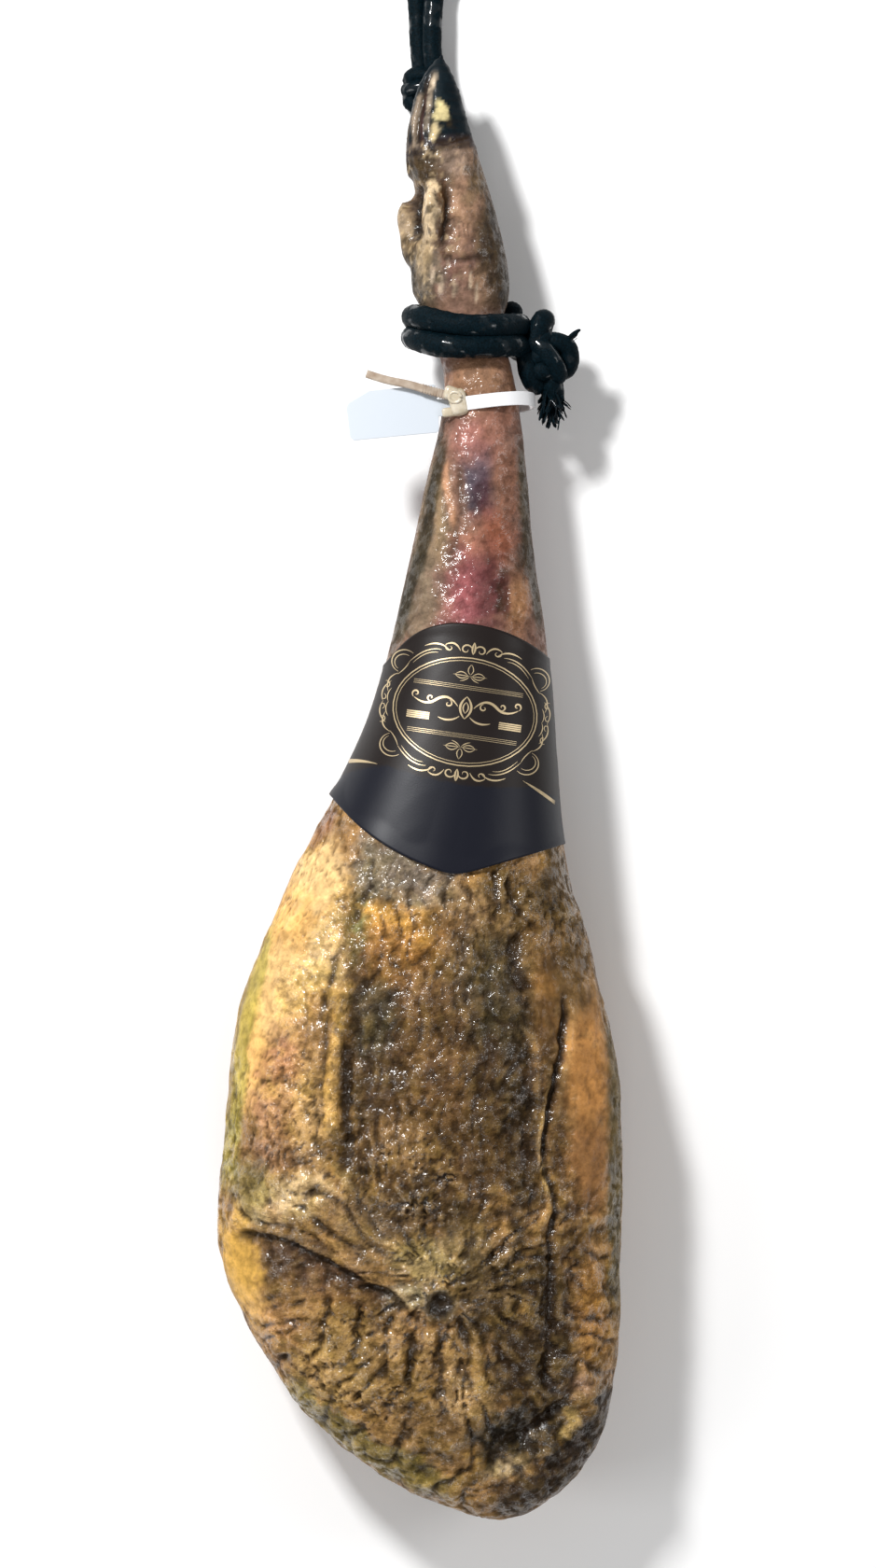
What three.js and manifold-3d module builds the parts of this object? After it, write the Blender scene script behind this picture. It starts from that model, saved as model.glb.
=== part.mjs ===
// A whole air-cured ham with its foot, laid on its fat side: hoof towards +Y, the cut inner face up.
// With it are the rope it hangs by, the plastic seal on its shank and the paper label round it.
import * as THREE from "three";
import { mergeVertices } from "three/addons/utils/BufferGeometryUtils.js";
import Module from "manifold-3d";

const wasm = await Module();
wasm.setup();

// Sizes in millimetres. The origin is under the middle of the ham, on the surface that it lies on.
const GAP = 0.3; // between pieces that touch

const HAM_AROUND = 52;
const HAM_ALONG = 62;
const REST_LEVEL = 0; // the fat side is pressed flat here

const ROPE_DIAMETER = 11.5;
const ROPE_SIDES = 10;
const ROPE_RADIUS = ROPE_DIAMETER / 2;

const LABEL_INNER = 0.35; // clearance off the skin
const LABEL_OUTER = 1.15;
const LABEL_EDGE_HEIGHT = 34; // the label's long edges lie this high, on the flanks

const STRAP_WIDTH = 8;
const STRAP_THICKNESS = 1.3;
const PLATE_THICKNESS = 1.4;

// Outlines along the ham, from the rump end to the hoof: [y, left x, right x, underside z, face z].
const HAM_STATIONS = [
  [-425, 46, 46, 56, 56],
  [-421, 27, 62, 40, 72],
  [-411, -1, 79, 28, 83],
  [-398, -25, 92, 19, 92],
  [-376, -52, 106, 10, 102],
  [-350, -76, 111, 4, 109],
  [-318, -98, 115, 0, 115],
  [-283, -113, 117, -2, 120],
  [-246, -118, 118, -3, 122],
  [-208, -115, 118, -3, 123],
  [-170, -111, 116, -2.5, 122],
  [-130, -104, 108, -1.5, 119],
  [-90, -90, 97, 1, 115],
  [-48, -73, 86, 4, 110],
  [-5, -50, 81, 8, 103],
  [40, -29, 78, 12, 95],
  [85, -16.5, 74, 16, 87],
  [130, -6, 67, 20, 80],
  [175, 3.5, 63, 23, 74],
  [212, 12.5, 59, 25, 70],
  [240, 14.5, 54.5, 25, 67],
  [260, 7, 49, 24, 64],
  [274, 4, 49.5, 23, 64],
  [288, -4.5, 52.5, 19.5, 66.5],
  [310, -4, 50, 19, 67],
  [338, -2, 43, 19, 65],
  [362, -5, 35.5, 20, 63],
  [380, -5, 29.5, 23, 60],
  [390, -1, 24, 29, 54],
  [394, 11, 11, 42, 42],
];

// The two main claws of the foot lie side by side, the near one above the far one.
const NEAR_CLAW = [
  [348, 14, 14, 52, 52],
  [354, -4, 33, 42.5, 64],
  [366, -7, 34.2, 42.3, 64],
  [379, -7.5, 30.2, 42.3, 62],
  [392, -4.5, 26.5, 42.5, 59.5],
  [405, -1, 22.5, 43.5, 56.5],
  [417, 6, 17.5, 45, 53],
  [424.6, 12, 12, 49, 49],
];
const FAR_CLAW = [
  [348, 12, 12, 33, 33],
  [354, -6, 30, 21.5, 42],
  [366, -8.4, 31, 21.5, 41.9],
  [379, -8, 27, 22.5, 41.9],
  [392, -5.5, 22, 25, 41.6],
  [404, -2.5, 17, 28, 41],
  [413, 2, 12, 31, 39.5],
  [419, 6.5, 6.5, 35.5, 35.5],
];
const NEAR_DEWCLAW = [
  [306, 12, 12, 57, 57],
  [312, 5, 17, 50, 68],
  [326, 3.5, 14.5, 52, 71],
  [339, 3.5, 11.5, 56, 71],
  [346.5, 6.5, 6.5, 64, 64],
];
const FAR_DEWCLAW = [
  [298, 1, 1, 36, 36],
  [305, -9, 8, 27, 46],
  [318, -11, 3, 27, 46],
  [333, -13, -3.5, 29, 43],
  [342.5, -8.5, -8.5, 36, 36],
];

// The section of a loft is round at the flanks, and flatter over the face than underneath.
const FACE_SQUARENESS = 2.25;
const UNDERSIDE_SQUARENESS = 2.05;
const FLANK_LEVEL = 0.46;

function power(value, squareness) {
  return Math.sign(value) * Math.abs(value) ** (2 / squareness);
}

// A closed body through the stations, made from a sphere whose poles are its two ends.
function loft(stations, around, along, margin = 0) {
  const curves = [0, 1, 2, 3, 4].map(
    (column) => new THREE.SplineCurve(stations.map((row, i) => new THREE.Vector2(i, row[column]))),
  );
  const sphere = new THREE.SphereGeometry(1, around, along);
  sphere.deleteAttribute("normal");
  sphere.deleteAttribute("uv");
  const position = sphere.getAttribute("position");
  const point = new THREE.Vector3();
  for (let i = 0; i < position.count; i += 1) {
    point.fromBufferAttribute(position, i);
    const along01 = 1 - Math.acos(THREE.MathUtils.clamp(point.y, -1, 1)) / Math.PI;
    const [y, left, right, low, high] = curves.map((curve) => curve.getPoint(along01).y);
    const radius = Math.hypot(point.x, point.z);
    const cosine = radius > 1e-6 ? point.x / radius : 0;
    const sine = radius > 1e-6 ? point.z / radius : 0;
    const grown = radius > 1e-6 ? margin : 0;
    const squareness = sine > 0 ? FACE_SQUARENESS : UNDERSIDE_SQUARENESS;
    const flank = low + FLANK_LEVEL * (high - low);
    const depth = (sine > 0 ? high - flank : flank - low) + grown;
    const x = (left + right) / 2 + ((right - left) / 2 + grown) * power(cosine, squareness);
    const z = flank + depth * power(sine, squareness);
    position.setXYZ(i, x, y, Math.max(z, REST_LEVEL));
  }
  return mergeVertices(sphere, 1e-3);
}

// three.js geometry to a solid, and back.
function solid(geometry) {
  const bare = geometry.index ? geometry.toNonIndexed() : geometry.clone();
  bare.deleteAttribute("normal");
  bare.deleteAttribute("uv");
  const merged = mergeVertices(bare, 1e-3);
  return new wasm.Manifold(
    new wasm.Mesh({
      numProp: 3,
      vertProperties: new Float32Array(merged.getAttribute("position").array),
      triVerts: new Uint32Array(merged.index.array),
    }),
  );
}

function geometryOf(manifold) {
  const mesh = manifold.getMesh();
  const geometry = new THREE.BufferGeometry();
  geometry.setAttribute("position", new THREE.BufferAttribute(mesh.vertProperties, 3));
  geometry.setIndex(new THREE.BufferAttribute(mesh.triVerts, 1));
  geometry.computeVertexNormals();
  return geometry;
}

// The piece that matters when a cut leaves slivers beside it.
function largestPart(manifold) {
  const parts = manifold.decompose();
  return parts.reduce((best, part) => (part.volume() > best.volume() ? part : best));
}

function vectors(rows) {
  return rows.map(([x, y, z]) => new THREE.Vector3(x, y, z));
}

// A round bar along a smooth path, for rope.
function ropeAlong(points, steps, radius = ROPE_RADIUS, sides = ROPE_SIDES) {
  const section = new THREE.Shape();
  for (let i = 0; i < sides; i += 1) {
    const turn = (2 * Math.PI * i) / sides;
    const corner = [radius * Math.cos(turn), radius * Math.sin(turn)];
    if (i === 0) section.moveTo(...corner);
    else section.lineTo(...corner);
  }
  section.closePath();
  const path = new THREE.CatmullRomCurve3(vectors(points), false, "centripetal");
  return new THREE.ExtrudeGeometry(section, { steps, extrudePath: path, curveSegments: 1 });
}

// An ellipsoid from its centre and half sizes, for the lobes of a knot.
function lobe([x, y, z], [rx, ry, rz], around = 14, along = 10) {
  return new THREE.SphereGeometry(1, around, along).scale(rx, ry, rz).translate(x, y, z);
}

function joined(geometries) {
  return geometries.map(solid).reduce((sum, next) => sum.add(next));
}

// --- The ham: leg, foot, hoof claws and dewclaws, all one natural piece ---------------------------
function makeHam() {
  return joined([
    loft(HAM_STATIONS, HAM_AROUND, HAM_ALONG),
    loft(NEAR_CLAW, 20, 12),
    loft(FAR_CLAW, 20, 12),
    loft(NEAR_DEWCLAW, 12, 8),
    loft(FAR_DEWCLAW, 12, 8),
  ]);
}

// --- The paper label: a sheet over the face of the shank, down both flanks ------------------------
function makeLabel() {
  const outline = new THREE.Shape();
  outline.moveTo(-75, 62);
  outline.quadraticCurveTo(-20, 84, 30, 93.5);
  outline.quadraticCurveTo(75, 82, 110, 62);
  outline.lineTo(110, -26);
  outline.quadraticCurveTo(60, -41, 20.5, -52);
  outline.quadraticCurveTo(-30, -36, -49, -6);
  outline.quadraticCurveTo(-60, 10, -75, 12);
  outline.closePath();
  const prism = new THREE.ExtrudeGeometry(outline, { depth: 140, bevelEnabled: false, curveSegments: 8 });
  prism.translate(0, 0, LABEL_EDGE_HEIGHT);
  const skin = solid(loft(HAM_STATIONS, HAM_AROUND, HAM_ALONG, LABEL_INNER));
  const paper = solid(loft(HAM_STATIONS, HAM_AROUND, HAM_ALONG, LABEL_OUTER));
  return largestPart(paper.subtract(skin).intersect(solid(prism)));
}

// --- The seal: a strap round the shank, its locking head, its free tail and its plate -------------
const STRAP_CENTRE = [38.7, 221.2, 47.4];
const STRAP_HALF = [28, 24.4]; // across the shank, and from underside to face
const STRAP_TILT = 0.07;

function ellipsePath(shape, halfX, halfY) {
  shape.absellipse(0, 0, halfX, halfY, 0, 2 * Math.PI, false);
  return shape;
}

function placeOnShank(geometry) {
  return geometry.rotateZ(STRAP_TILT).translate(...STRAP_CENTRE);
}

// The loop, thicker and wider by the play when it is used to cut the head.
function strapLoop(play = 0) {
  const outer = STRAP_THICKNESS + play;
  const ring = ellipsePath(new THREE.Shape(), STRAP_HALF[0] + outer, STRAP_HALF[1] + outer);
  ring.holes.push(ellipsePath(new THREE.Path(), STRAP_HALF[0] - play, STRAP_HALF[1] - play));
  const height = STRAP_WIDTH + 2 * play;
  const flat = new THREE.ExtrudeGeometry(ring, { depth: height, bevelEnabled: false, curveSegments: 16 });
  return placeOnShank(flat.translate(0, 0, -height / 2).rotateX(Math.PI / 2));
}

// The free end of the strap, a strip with a round tip that points away from the shank.
function strapTail(play = 0) {
  const half = 3.2 + play;
  const strip = new THREE.Shape();
  strip.moveTo(0, -half);
  strip.lineTo(0, half);
  strip.lineTo(-49, half);
  strip.absarc(-49, 0, half, Math.PI / 2, (3 * Math.PI) / 2, false);
  strip.closePath();
  const depth = STRAP_THICKNESS + 2 * play;
  const flat = new THREE.ExtrudeGeometry(strip, { depth, bevelEnabled: false, curveSegments: 6 });
  return flat.translate(0, 0, -play).rotateY(0.03).rotateZ(-0.29).translate(24, 222, 66.9);
}

function makeStrap() {
  return joined([strapLoop(), strapTail()]);
}

function makeSealHead() {
  const block = lobe([21, 222, 68.5], [7.8, 9.2, 5.2], 16, 12);
  const rim = new THREE.BoxGeometry(11, 13, 7.6).translate(21.5, 222, 68.8);
  const ham = solid(loft(HAM_STATIONS, HAM_AROUND, HAM_ALONG, GAP));
  const head = joined([block, rim]).subtract(solid(strapLoop(GAP))).subtract(solid(strapTail(GAP)));
  return largestPart(head.subtract(ham));
}

function makeSealPlate() {
  const outline = new THREE.Shape();
  outline.moveTo(-55, -7);
  outline.lineTo(-55, 12);
  outline.lineTo(-49, 17);
  outline.lineTo(-12, 17);
  outline.lineTo(-8, 9);
  outline.lineTo(2, 8);
  outline.lineTo(2, -4);
  outline.lineTo(-8, -6);
  outline.lineTo(-9, -11);
  outline.lineTo(-50, -11);
  outline.closePath();
  const flat = new THREE.ExtrudeGeometry(outline, { depth: PLATE_THICKNESS, bevelEnabled: false });
  const plate = solid(flat.rotateY(0.05).rotateZ(0.1).translate(13.5, 214.5, 64.5));
  const head = solid(new THREE.BoxGeometry(16.6, 19, 12).translate(21.3, 222, 69));
  const ham = solid(loft(HAM_STATIONS, HAM_AROUND, HAM_ALONG, GAP));
  return largestPart(plate.subtract(head).subtract(solid(strapLoop(GAP))).subtract(ham));
}

// --- The rope: two turns round the ankle, a knot with a frayed tail, and a long loop --------------
const ANKLE_TURNS = 2;
const TURN_PITCH = ROPE_DIAMETER + GAP;
const ANKLE_CENTRE = [27.5, 261, 44];
const ANKLE_HALF = [31.2, 29.5]; // of the rope's middle line

function makeAnkleTurns() {
  const points = [];
  const perTurn = 16;
  const start = -0.3; // the turns begin and end inside the bend beside the knot
  for (let i = 0; i <= ANKLE_TURNS * perTurn; i += 1) {
    const turn = start + (2 * Math.PI * i) / perTurn;
    const [cx, cy, cz] = ANKLE_CENTRE;
    const rise = TURN_PITCH * (i / perTurn - ANKLE_TURNS / 2);
    const slope = 3.8 * Math.cos(turn) ** 2;
    points.push([cx + ANKLE_HALF[0] * Math.cos(turn), cy + rise + slope, cz + ANKLE_HALF[1] * Math.sin(turn)]);
  }
  return solid(ropeAlong(points, 52));
}

function makeAnkleKnot(turns) {
  const lump = joined([
    lobe([70, 250, 42], [11.5, 19, 13.5], 18, 12),
    lobe([69.8, 266, 44], [6.7, 9.5, 6.7]),
    lobe([84, 250, 42], [9, 11.5, 8.5]),
    lobe([64.5, 237.5, 42], [6, 8.5, 7]),
  ]);
  const [x, y, z] = ANKLE_CENTRE;
  const swept = new THREE.CylinderGeometry(1, 1, 2 * TURN_PITCH + ROPE_DIAMETER + 9, 40);
  swept.scale(ANKLE_HALF[0] + ROPE_RADIUS + GAP, 1, ANKLE_HALF[1] + ROPE_RADIUS + GAP).translate(x, y, z);
  return largestPart(lump.subtract(solid(swept)).subtract(turns));
}

function makeAnkleTail(knot) {
  const rope = joined([
    ropeAlong([[74, 236, 43], [76, 228, 42], [77, 219, 40], [77.5, 211, 38]], 8, 6.2),
    lobe([77.5, 214, 38.5], [8.4, 5, 7.5]),
  ]);
  const [x, y, z] = [74, 250, 42];
  const clear = solid(lobe([x - 4, y, z], [11.5 + GAP, 19 + GAP, 13.5 + GAP], 18, 12));
  return largestPart(rope.subtract(clear).subtract(knot));
}

// The hanging loop lies along the surface: out under the foot, round its far bend, and back.
const LOOP_ROUTE = [
  [13, 284, 6], [12, 300, 6], [10, 320, 6], [8, 342, 6], [6.5, 364, 6], [5.5, 386, 6],
  [4, 404, 6], [1.5, 420, 6], [0.2, 432, 6], [-0.6, 444, 6], [-1, 456, 6], [-2.4, 467, 6],
  [-7, 481, 6], [-13.5, 496, 6], [-18.5, 512, 6], [-17.6, 528, 6], [-9.5, 541.5, 6], [2.5, 547.5, 6],
  [15, 544.5, 6], [24.5, 534, 6], [28.5, 518, 6], [26.5, 502, 6], [20.5, 488, 6.4], [13.5, 475, 9],
  [9, 465, 13], [7.8, 455, 15], [7.4, 444, 15.6], [7.4, 432, 16], [9.2, 421, 15], [13.4, 410, 12],
  [16.6, 398, 8.4], [18.6, 384, 6.4], [19.6, 370, 6], [20.5, 356, 6], [22, 334, 6], [24, 312, 6],
  [26, 296, 6], [27, 284, 6],
];

function makeHangingLoop() {
  return solid(ropeAlong(LOOP_ROUTE, 60));
}

function makeHoofKnot() {
  const lump = joined([
    lobe([-4.2, 410.5, 8.6], [7, 12.6, 7.6]),
    lobe([8, 408, 10.2], [15.5, 9.4, 8.6], 16, 10),
  ]);
  const strands = solid(ropeAlong(LOOP_ROUTE, 60, ROPE_RADIUS + GAP));
  const foot = solid(loft(FAR_CLAW, 20, 12, GAP));
  return largestPart(lump.subtract(strands).subtract(foot));
}

// --- The assembly ---------------------------------------------------------------------------------
const part = new THREE.Group();

function addPiece(name, manifold, color, roughness) {
  const material = new THREE.MeshStandardMaterial({ color, roughness, metalness: 0 });
  const mesh = new THREE.Mesh(geometryOf(manifold), material);
  mesh.name = name;
  part.add(mesh);
}

const ankleTurns = makeAnkleTurns();
const ankleKnot = makeAnkleKnot(ankleTurns);

addPiece("ham", makeHam(), 0x8a6a3c, 0.5);
addPiece("label", makeLabel(), 0x131115, 0.45);
addPiece("seal_strap", makeStrap(), 0xe6e3dd, 0.35);
addPiece("seal_head", makeSealHead(), 0xb9b3a4, 0.3);
addPiece("seal_plate", makeSealPlate(), 0xeef1f4, 0.35);
addPiece("ankle_rope", ankleTurns, 0x0f171c, 0.55);
addPiece("ankle_knot", ankleKnot, 0x0f171c, 0.55);
addPiece("rope_tail", makeAnkleTail(ankleKnot), 0x141a1c, 0.7);
addPiece("hanging_loop", makeHangingLoop(), 0x0f171c, 0.55);
addPiece("hoof_knot", makeHoofKnot(), 0x0f171c, 0.55);

export default part;
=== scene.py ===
import math
import random

import bmesh
import bpy
import numpy as np
from mathutils import Matrix, Vector, noise
from mathutils.bvhtree import BVHTree


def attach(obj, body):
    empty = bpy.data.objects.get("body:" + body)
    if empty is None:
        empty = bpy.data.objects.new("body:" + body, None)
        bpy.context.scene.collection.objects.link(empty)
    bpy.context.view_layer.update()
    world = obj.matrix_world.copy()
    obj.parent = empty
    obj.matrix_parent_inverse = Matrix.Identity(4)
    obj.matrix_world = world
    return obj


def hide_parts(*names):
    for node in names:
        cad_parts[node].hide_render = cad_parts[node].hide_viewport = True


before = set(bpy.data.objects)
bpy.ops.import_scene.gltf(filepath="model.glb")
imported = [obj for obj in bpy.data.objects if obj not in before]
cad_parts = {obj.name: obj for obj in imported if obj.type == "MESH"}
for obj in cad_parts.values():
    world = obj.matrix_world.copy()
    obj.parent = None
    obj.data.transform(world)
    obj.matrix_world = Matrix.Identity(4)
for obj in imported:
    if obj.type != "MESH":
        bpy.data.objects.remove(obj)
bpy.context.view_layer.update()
scene = bpy.context.scene
scene.view_settings.view_transform = "Standard"


# --- The table, the light and the view ------------------------------------------------------------
# The ham lies on its fat side on a plain pale table, under a wide soft lamp and a bright room.
# The view is from straight above, with the hoof away.
view_height = 2.56
view_length = 0.907
middle_level = 0.06
sensor = 36
camera = bpy.data.objects.new("camera", bpy.data.cameras.new("camera"))
scene.collection.objects.link(camera)
camera.location = (0.0108, 0.0005, view_height)
camera.data.sensor_fit = "VERTICAL"
camera.data.sensor_height = sensor
camera.data.lens = sensor * (view_height - middle_level) / view_length
camera.data.clip_end = 20
scene.camera = camera


def add_lamp(name, place, aim, size, watts):
    lamp = bpy.data.objects.new(name, bpy.data.lights.new(name, "AREA"))
    lamp.data.size = size
    lamp.data.energy = watts
    lamp.location = place
    lamp.rotation_euler = (Vector(aim) - Vector(place)).to_track_quat("-Z", "Y").to_euler()
    scene.collection.objects.link(lamp)


add_lamp("key_lamp", (-0.8, 1.15, 1.5), (0, -0.05, 0), 0.26, 45)
add_lamp("left_lamp", (-1.7, -0.6, 1.3), (0, -0.1, 0), 0.8, 10)
add_lamp("right_lamp", (1.7, 0.3, 1.4), (0, -0.05, 0), 0.8, 10)
add_lamp("near_lamp", (0.3, -1.9, 1.4), (0, -0.1, 0), 0.8, 8)
scene.world = bpy.data.worlds.new("room")
scene.world.use_nodes = True
scene.world.node_tree.nodes["Background"].inputs["Color"].default_value = (1, 1, 1, 1)
scene.world.node_tree.nodes["Background"].inputs["Strength"].default_value = 0.27


def plain_material(name, colour, roughness, metallic=0.0):
    """A material with its uniform values on the shader, for nodes to be added to."""
    material = bpy.data.materials.new(name)
    material.use_nodes = True
    shader = material.node_tree.nodes["Principled BSDF"]
    shader.inputs["Base Color"].default_value = (*colour, 1)
    shader.inputs["Roughness"].default_value = roughness
    shader.inputs["Metallic"].default_value = metallic
    return material


def noise_node(material, scale, detail, roughness=0.5):
    """Cloudy noise fixed to the object."""
    nodes, links = material.node_tree.nodes, material.node_tree.links
    made = nodes.new("ShaderNodeTexNoise")
    made.inputs["Scale"].default_value = scale
    made.inputs["Detail"].default_value = detail
    made.inputs["Roughness"].default_value = roughness
    links.new(nodes.new("ShaderNodeTexCoord").outputs["Object"], made.inputs["Vector"])
    return made.outputs["Fac"]


def add_bump(material, height, strength, distance):
    nodes, links = material.node_tree.nodes, material.node_tree.links
    bump = nodes.new("ShaderNodeBump")
    bump.inputs["Strength"].default_value = strength
    bump.inputs["Distance"].default_value = distance
    links.new(height, bump.inputs["Height"])
    links.new(bump.outputs["Normal"], nodes["Principled BSDF"].inputs["Normal"])


def add_ramp(material, value, low, low_colour, high, high_colour):
    """The base colour goes from one shade to the other as the value rises."""
    nodes, links = material.node_tree.nodes, material.node_tree.links
    ramp = nodes.new("ShaderNodeValToRGB")
    for element, position, colour in zip(ramp.color_ramp.elements, (low, high), (low_colour, high_colour)):
        element.position = position
        element.color = (*colour, 1)
    links.new(value, ramp.inputs["Fac"])
    links.new(ramp.outputs["Color"], nodes["Principled BSDF"].inputs["Base Color"])


table = bmesh.new()
bmesh.ops.create_grid(table, x_segments=2, y_segments=2, size=4)
table_mesh = bpy.data.meshes.new("table")
table.to_mesh(table_mesh)
table.free()
table_top = bpy.data.objects.new("table", table_mesh)
scene.collection.objects.link(table_top)
table_mesh.materials.append(plain_material("pale_table", (0.93, 0.93, 0.93), 0.9))


# --- The hanging loop -----------------------------------------------------------------------------
# Black braided rope, greasy from the drying room. It leaves the ankle turns, runs doubled under the
# foot and ends in the loop that goes over a hook. Both its ends are tucked up into the ankle turns.
rope_diameter = 0.0115
loop_route_mm = [
    (12.6, 269, 15.5), (12.8, 277, 9.4), (13, 284, 6.2), (12, 300, 6), (10, 320, 6), (8, 342, 6),
    (6.5, 364, 6), (5.5, 386, 6),
    (4, 404, 6), (1.5, 420, 6), (0.2, 432, 6), (-0.6, 444, 6), (-1, 456, 6), (-2.4, 467, 6),
    (-7, 481, 6), (-13.5, 496, 6), (-18.5, 512, 6), (-17.6, 528, 6), (-9.5, 541.5, 6), (2.5, 547.5, 6),
    (15, 544.5, 6), (24.5, 534, 6), (28.5, 518, 6), (26.5, 502, 6), (20.5, 488, 6.4), (13.5, 475, 9),
    (9, 465, 13), (7.8, 455, 15), (7.4, 444, 15.6), (7.4, 432, 16), (9.2, 421, 15), (13.4, 410, 12),
    (16.6, 398, 8.4), (18.6, 384, 6.4), (19.6, 370, 6), (20.5, 356, 6), (22, 334, 6), (24, 312, 6),
    (26, 296, 6), (27, 284, 6.2), (27.2, 277, 9.4), (27.4, 269, 15.5),
]


def smooth_path(points, spacing):
    """Evenly spaced points on a smooth line through the given ones."""
    knots = [Vector(p) for p in points]
    knots = [knots[0] * 2 - knots[1]] + knots + [knots[-1] * 2 - knots[-2]]
    fine = []
    for a, b, c, d in zip(knots, knots[1:], knots[2:], knots[3:]):
        for i in range(12):
            t = i / 12
            fine.append(0.5 * (2 * b + (c - a) * t + (2 * a - 5 * b + 4 * c - d) * t * t
                               + (3 * b - a - 3 * c + d) * t ** 3))
    fine.append(knots[-2])
    fine = np.array(fine)
    steps = np.linalg.norm(np.diff(fine, axis=0), axis=1)
    travel = np.concatenate([[0], np.cumsum(steps)])
    count = max(4, int(round(travel[-1] / spacing)))
    even = np.linspace(0, travel[-1], count + 1)
    return np.stack([np.interp(even, travel, fine[:, k]) for k in range(3)], axis=1)


def path_frames(path):
    """Two directions across the path at each point, carried along without twist."""
    ahead = np.gradient(path, axis=0)
    ahead /= np.linalg.norm(ahead, axis=1)[:, None]
    side = np.cross(ahead[0], (0.02, 0.03, 1))
    sides = []
    for direction in ahead:
        side = side - direction * side.dot(direction)
        side /= np.linalg.norm(side)
        sides.append(side)
    sides = np.array(sides)
    return sides, np.cross(ahead, sides)


def paint_points(mesh, name, colours):
    """Stores a colour for each point of the mesh, for its material to read."""
    attribute = mesh.attributes.new(name, "FLOAT_COLOR", "POINT")
    opaque = np.column_stack([colours, np.ones(len(colours))])
    attribute.data.foreach_set("color", opaque.astype(np.float32).ravel())


def path_in_metres(points_mm, spacing):
    """A smooth line through points given in mm."""
    return smooth_path([tuple(c / 1000 for c in p) for p in points_mm], spacing)


def close_holes(work, fresh, dist):
    """Welds the new points where they meet and fills the open ends that are left."""
    bmesh.ops.remove_doubles(work, verts=fresh, dist=dist)
    rims = list({e for v in fresh if v.is_valid for e in v.link_edges if e.is_boundary})
    return bmesh.ops.holes_fill(work, edges=rims, sides=0)["faces"]


def link_mesh(name, work, smooth=True):
    """A finished bmesh becomes an object that sits at the origin."""
    mesh = bpy.data.meshes.new(name)
    work.to_mesh(mesh)
    work.free()
    if smooth:
        mesh.polygons.foreach_set("use_smooth", [True] * len(mesh.polygons))
    piece = bpy.data.objects.new(name, mesh)
    scene.collection.objects.link(piece)
    return piece


def dress(piece, material, node):
    """Gives a piece its material and says which node of the frame it stands for."""
    piece.data.materials.append(material)
    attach(piece, "root")
    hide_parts(node)
    return piece


def braid_height(around, along, diameter):
    """Relief of a braided sleeve: plump strands that cross over and under each other."""
    stitches = 6
    lay = 2 * math.pi * along / (diameter * 1.25)
    left = stitches * around / 2 + lay
    right = stitches * around / 2 - lay
    over = np.sin(left) * np.sin(right)
    return 0.5 * np.sqrt(np.abs(over)) * np.sign(over) * 0.6 + 0.25 * np.cos(2 * left) * (over > 0)


def rope_tube(work, path, diameter, rib=0.035, around=20, ends=(1.0, 1.0), lump=0.03, seed=0.0):
    """Adds a braided rope along the path. Its ends are rounded over."""
    sides, ups = path_frames(path)
    count = len(path)
    spacing = np.linalg.norm(path[1] - path[0])
    fresh = bmesh.ops.create_grid(work, x_segments=around, y_segments=count - 1, size=1)["verts"]
    uv = work.loops.layers.uv.verify()
    turns = np.array([(v.co.x + 1) / 2 for v in fresh])
    places = np.rint(np.array([(v.co.y + 1) / 2 for v in fresh]) * (count - 1)).astype(int)
    angle = 2 * math.pi * turns
    along = places * spacing
    radius = diameter / 2 * (1 + rib * 2 * braid_height(angle, along, diameter))
    wobble = np.array([noise.noise((a * 45 + seed, seed, 3.1)) for a in along])
    radius *= 1 + lump * wobble
    for end, at in ((ends[0], along), (ends[1], spacing * (count - 1) - along)):
        rim = np.clip(at / (diameter * 0.45), 0, 1)
        radius *= np.where(end < 1, end + (1 - end) * np.sqrt(rim), 1)
    out = (path[places] + sides[places] * (radius * np.cos(angle))[:, None]
           + ups[places] * (radius * np.sin(angle))[:, None])
    for vert, turn, length, place in zip(fresh, turns, along, out):
        for loop in vert.link_loops:
            loop[uv].uv = (turn, length / diameter)
        vert.co = place
    bmesh.ops.triangulate(work, faces=close_holes(work, list(fresh), 1e-5))
    bmesh.ops.recalc_face_normals(work, faces=work.faces)


def rope_material():
    """Black yarn under grease: blue-black and dull, with bright wet spots."""
    material = plain_material("greasy_black_rope", (0.002, 0.005, 0.007), 0.55)
    nodes, links = material.node_tree.nodes, material.node_tree.links
    shader = nodes["Principled BSDF"]
    shader.inputs["Specular IOR Level"].default_value = 0.04
    fibre = noise_node(material, 900, 4)
    wet = nodes.new("ShaderNodeMapRange")
    wet.inputs["From Min"].default_value = 0.54
    wet.inputs["From Max"].default_value = 0.64
    wet.inputs["To Max"].default_value = 0.8
    links.new(noise_node(material, 120, 2), wet.inputs["Value"])
    links.new(wet.outputs["Result"], shader.inputs["Coat Weight"])
    shader.inputs["Coat Roughness"].default_value = 0.12
    add_ramp(material, fibre, 0.32, (0.001, 0.003, 0.004), 0.7, (0.002, 0.009, 0.014))
    add_bump(material, fibre, 0.6, 0.0007)
    return material


black_rope = rope_material()
loop_path = path_in_metres(loop_route_mm, 0.0011)
work = bmesh.new()
rope_tube(work, loop_path, rope_diameter)
hanging_loop = dress(link_mesh("hanging_rope", work), black_rope, "hanging_loop")


# --- The ham --------------------------------------------------------------------------------------
# One cured pig's leg: the skin and fat side underneath, the cut inner face up, the foot with its
# horn claws at the far end. Months of drying have wrinkled the lean and left the fat smooth and oily.
def bake_modifiers(piece):
    graph = bpy.context.evaluated_depsgraph_get()
    mesh = bpy.data.meshes.new_from_object(piece.evaluated_get(graph))
    old = piece.data
    piece.modifiers.clear()
    piece.data = mesh
    bpy.data.meshes.remove(old)


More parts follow.
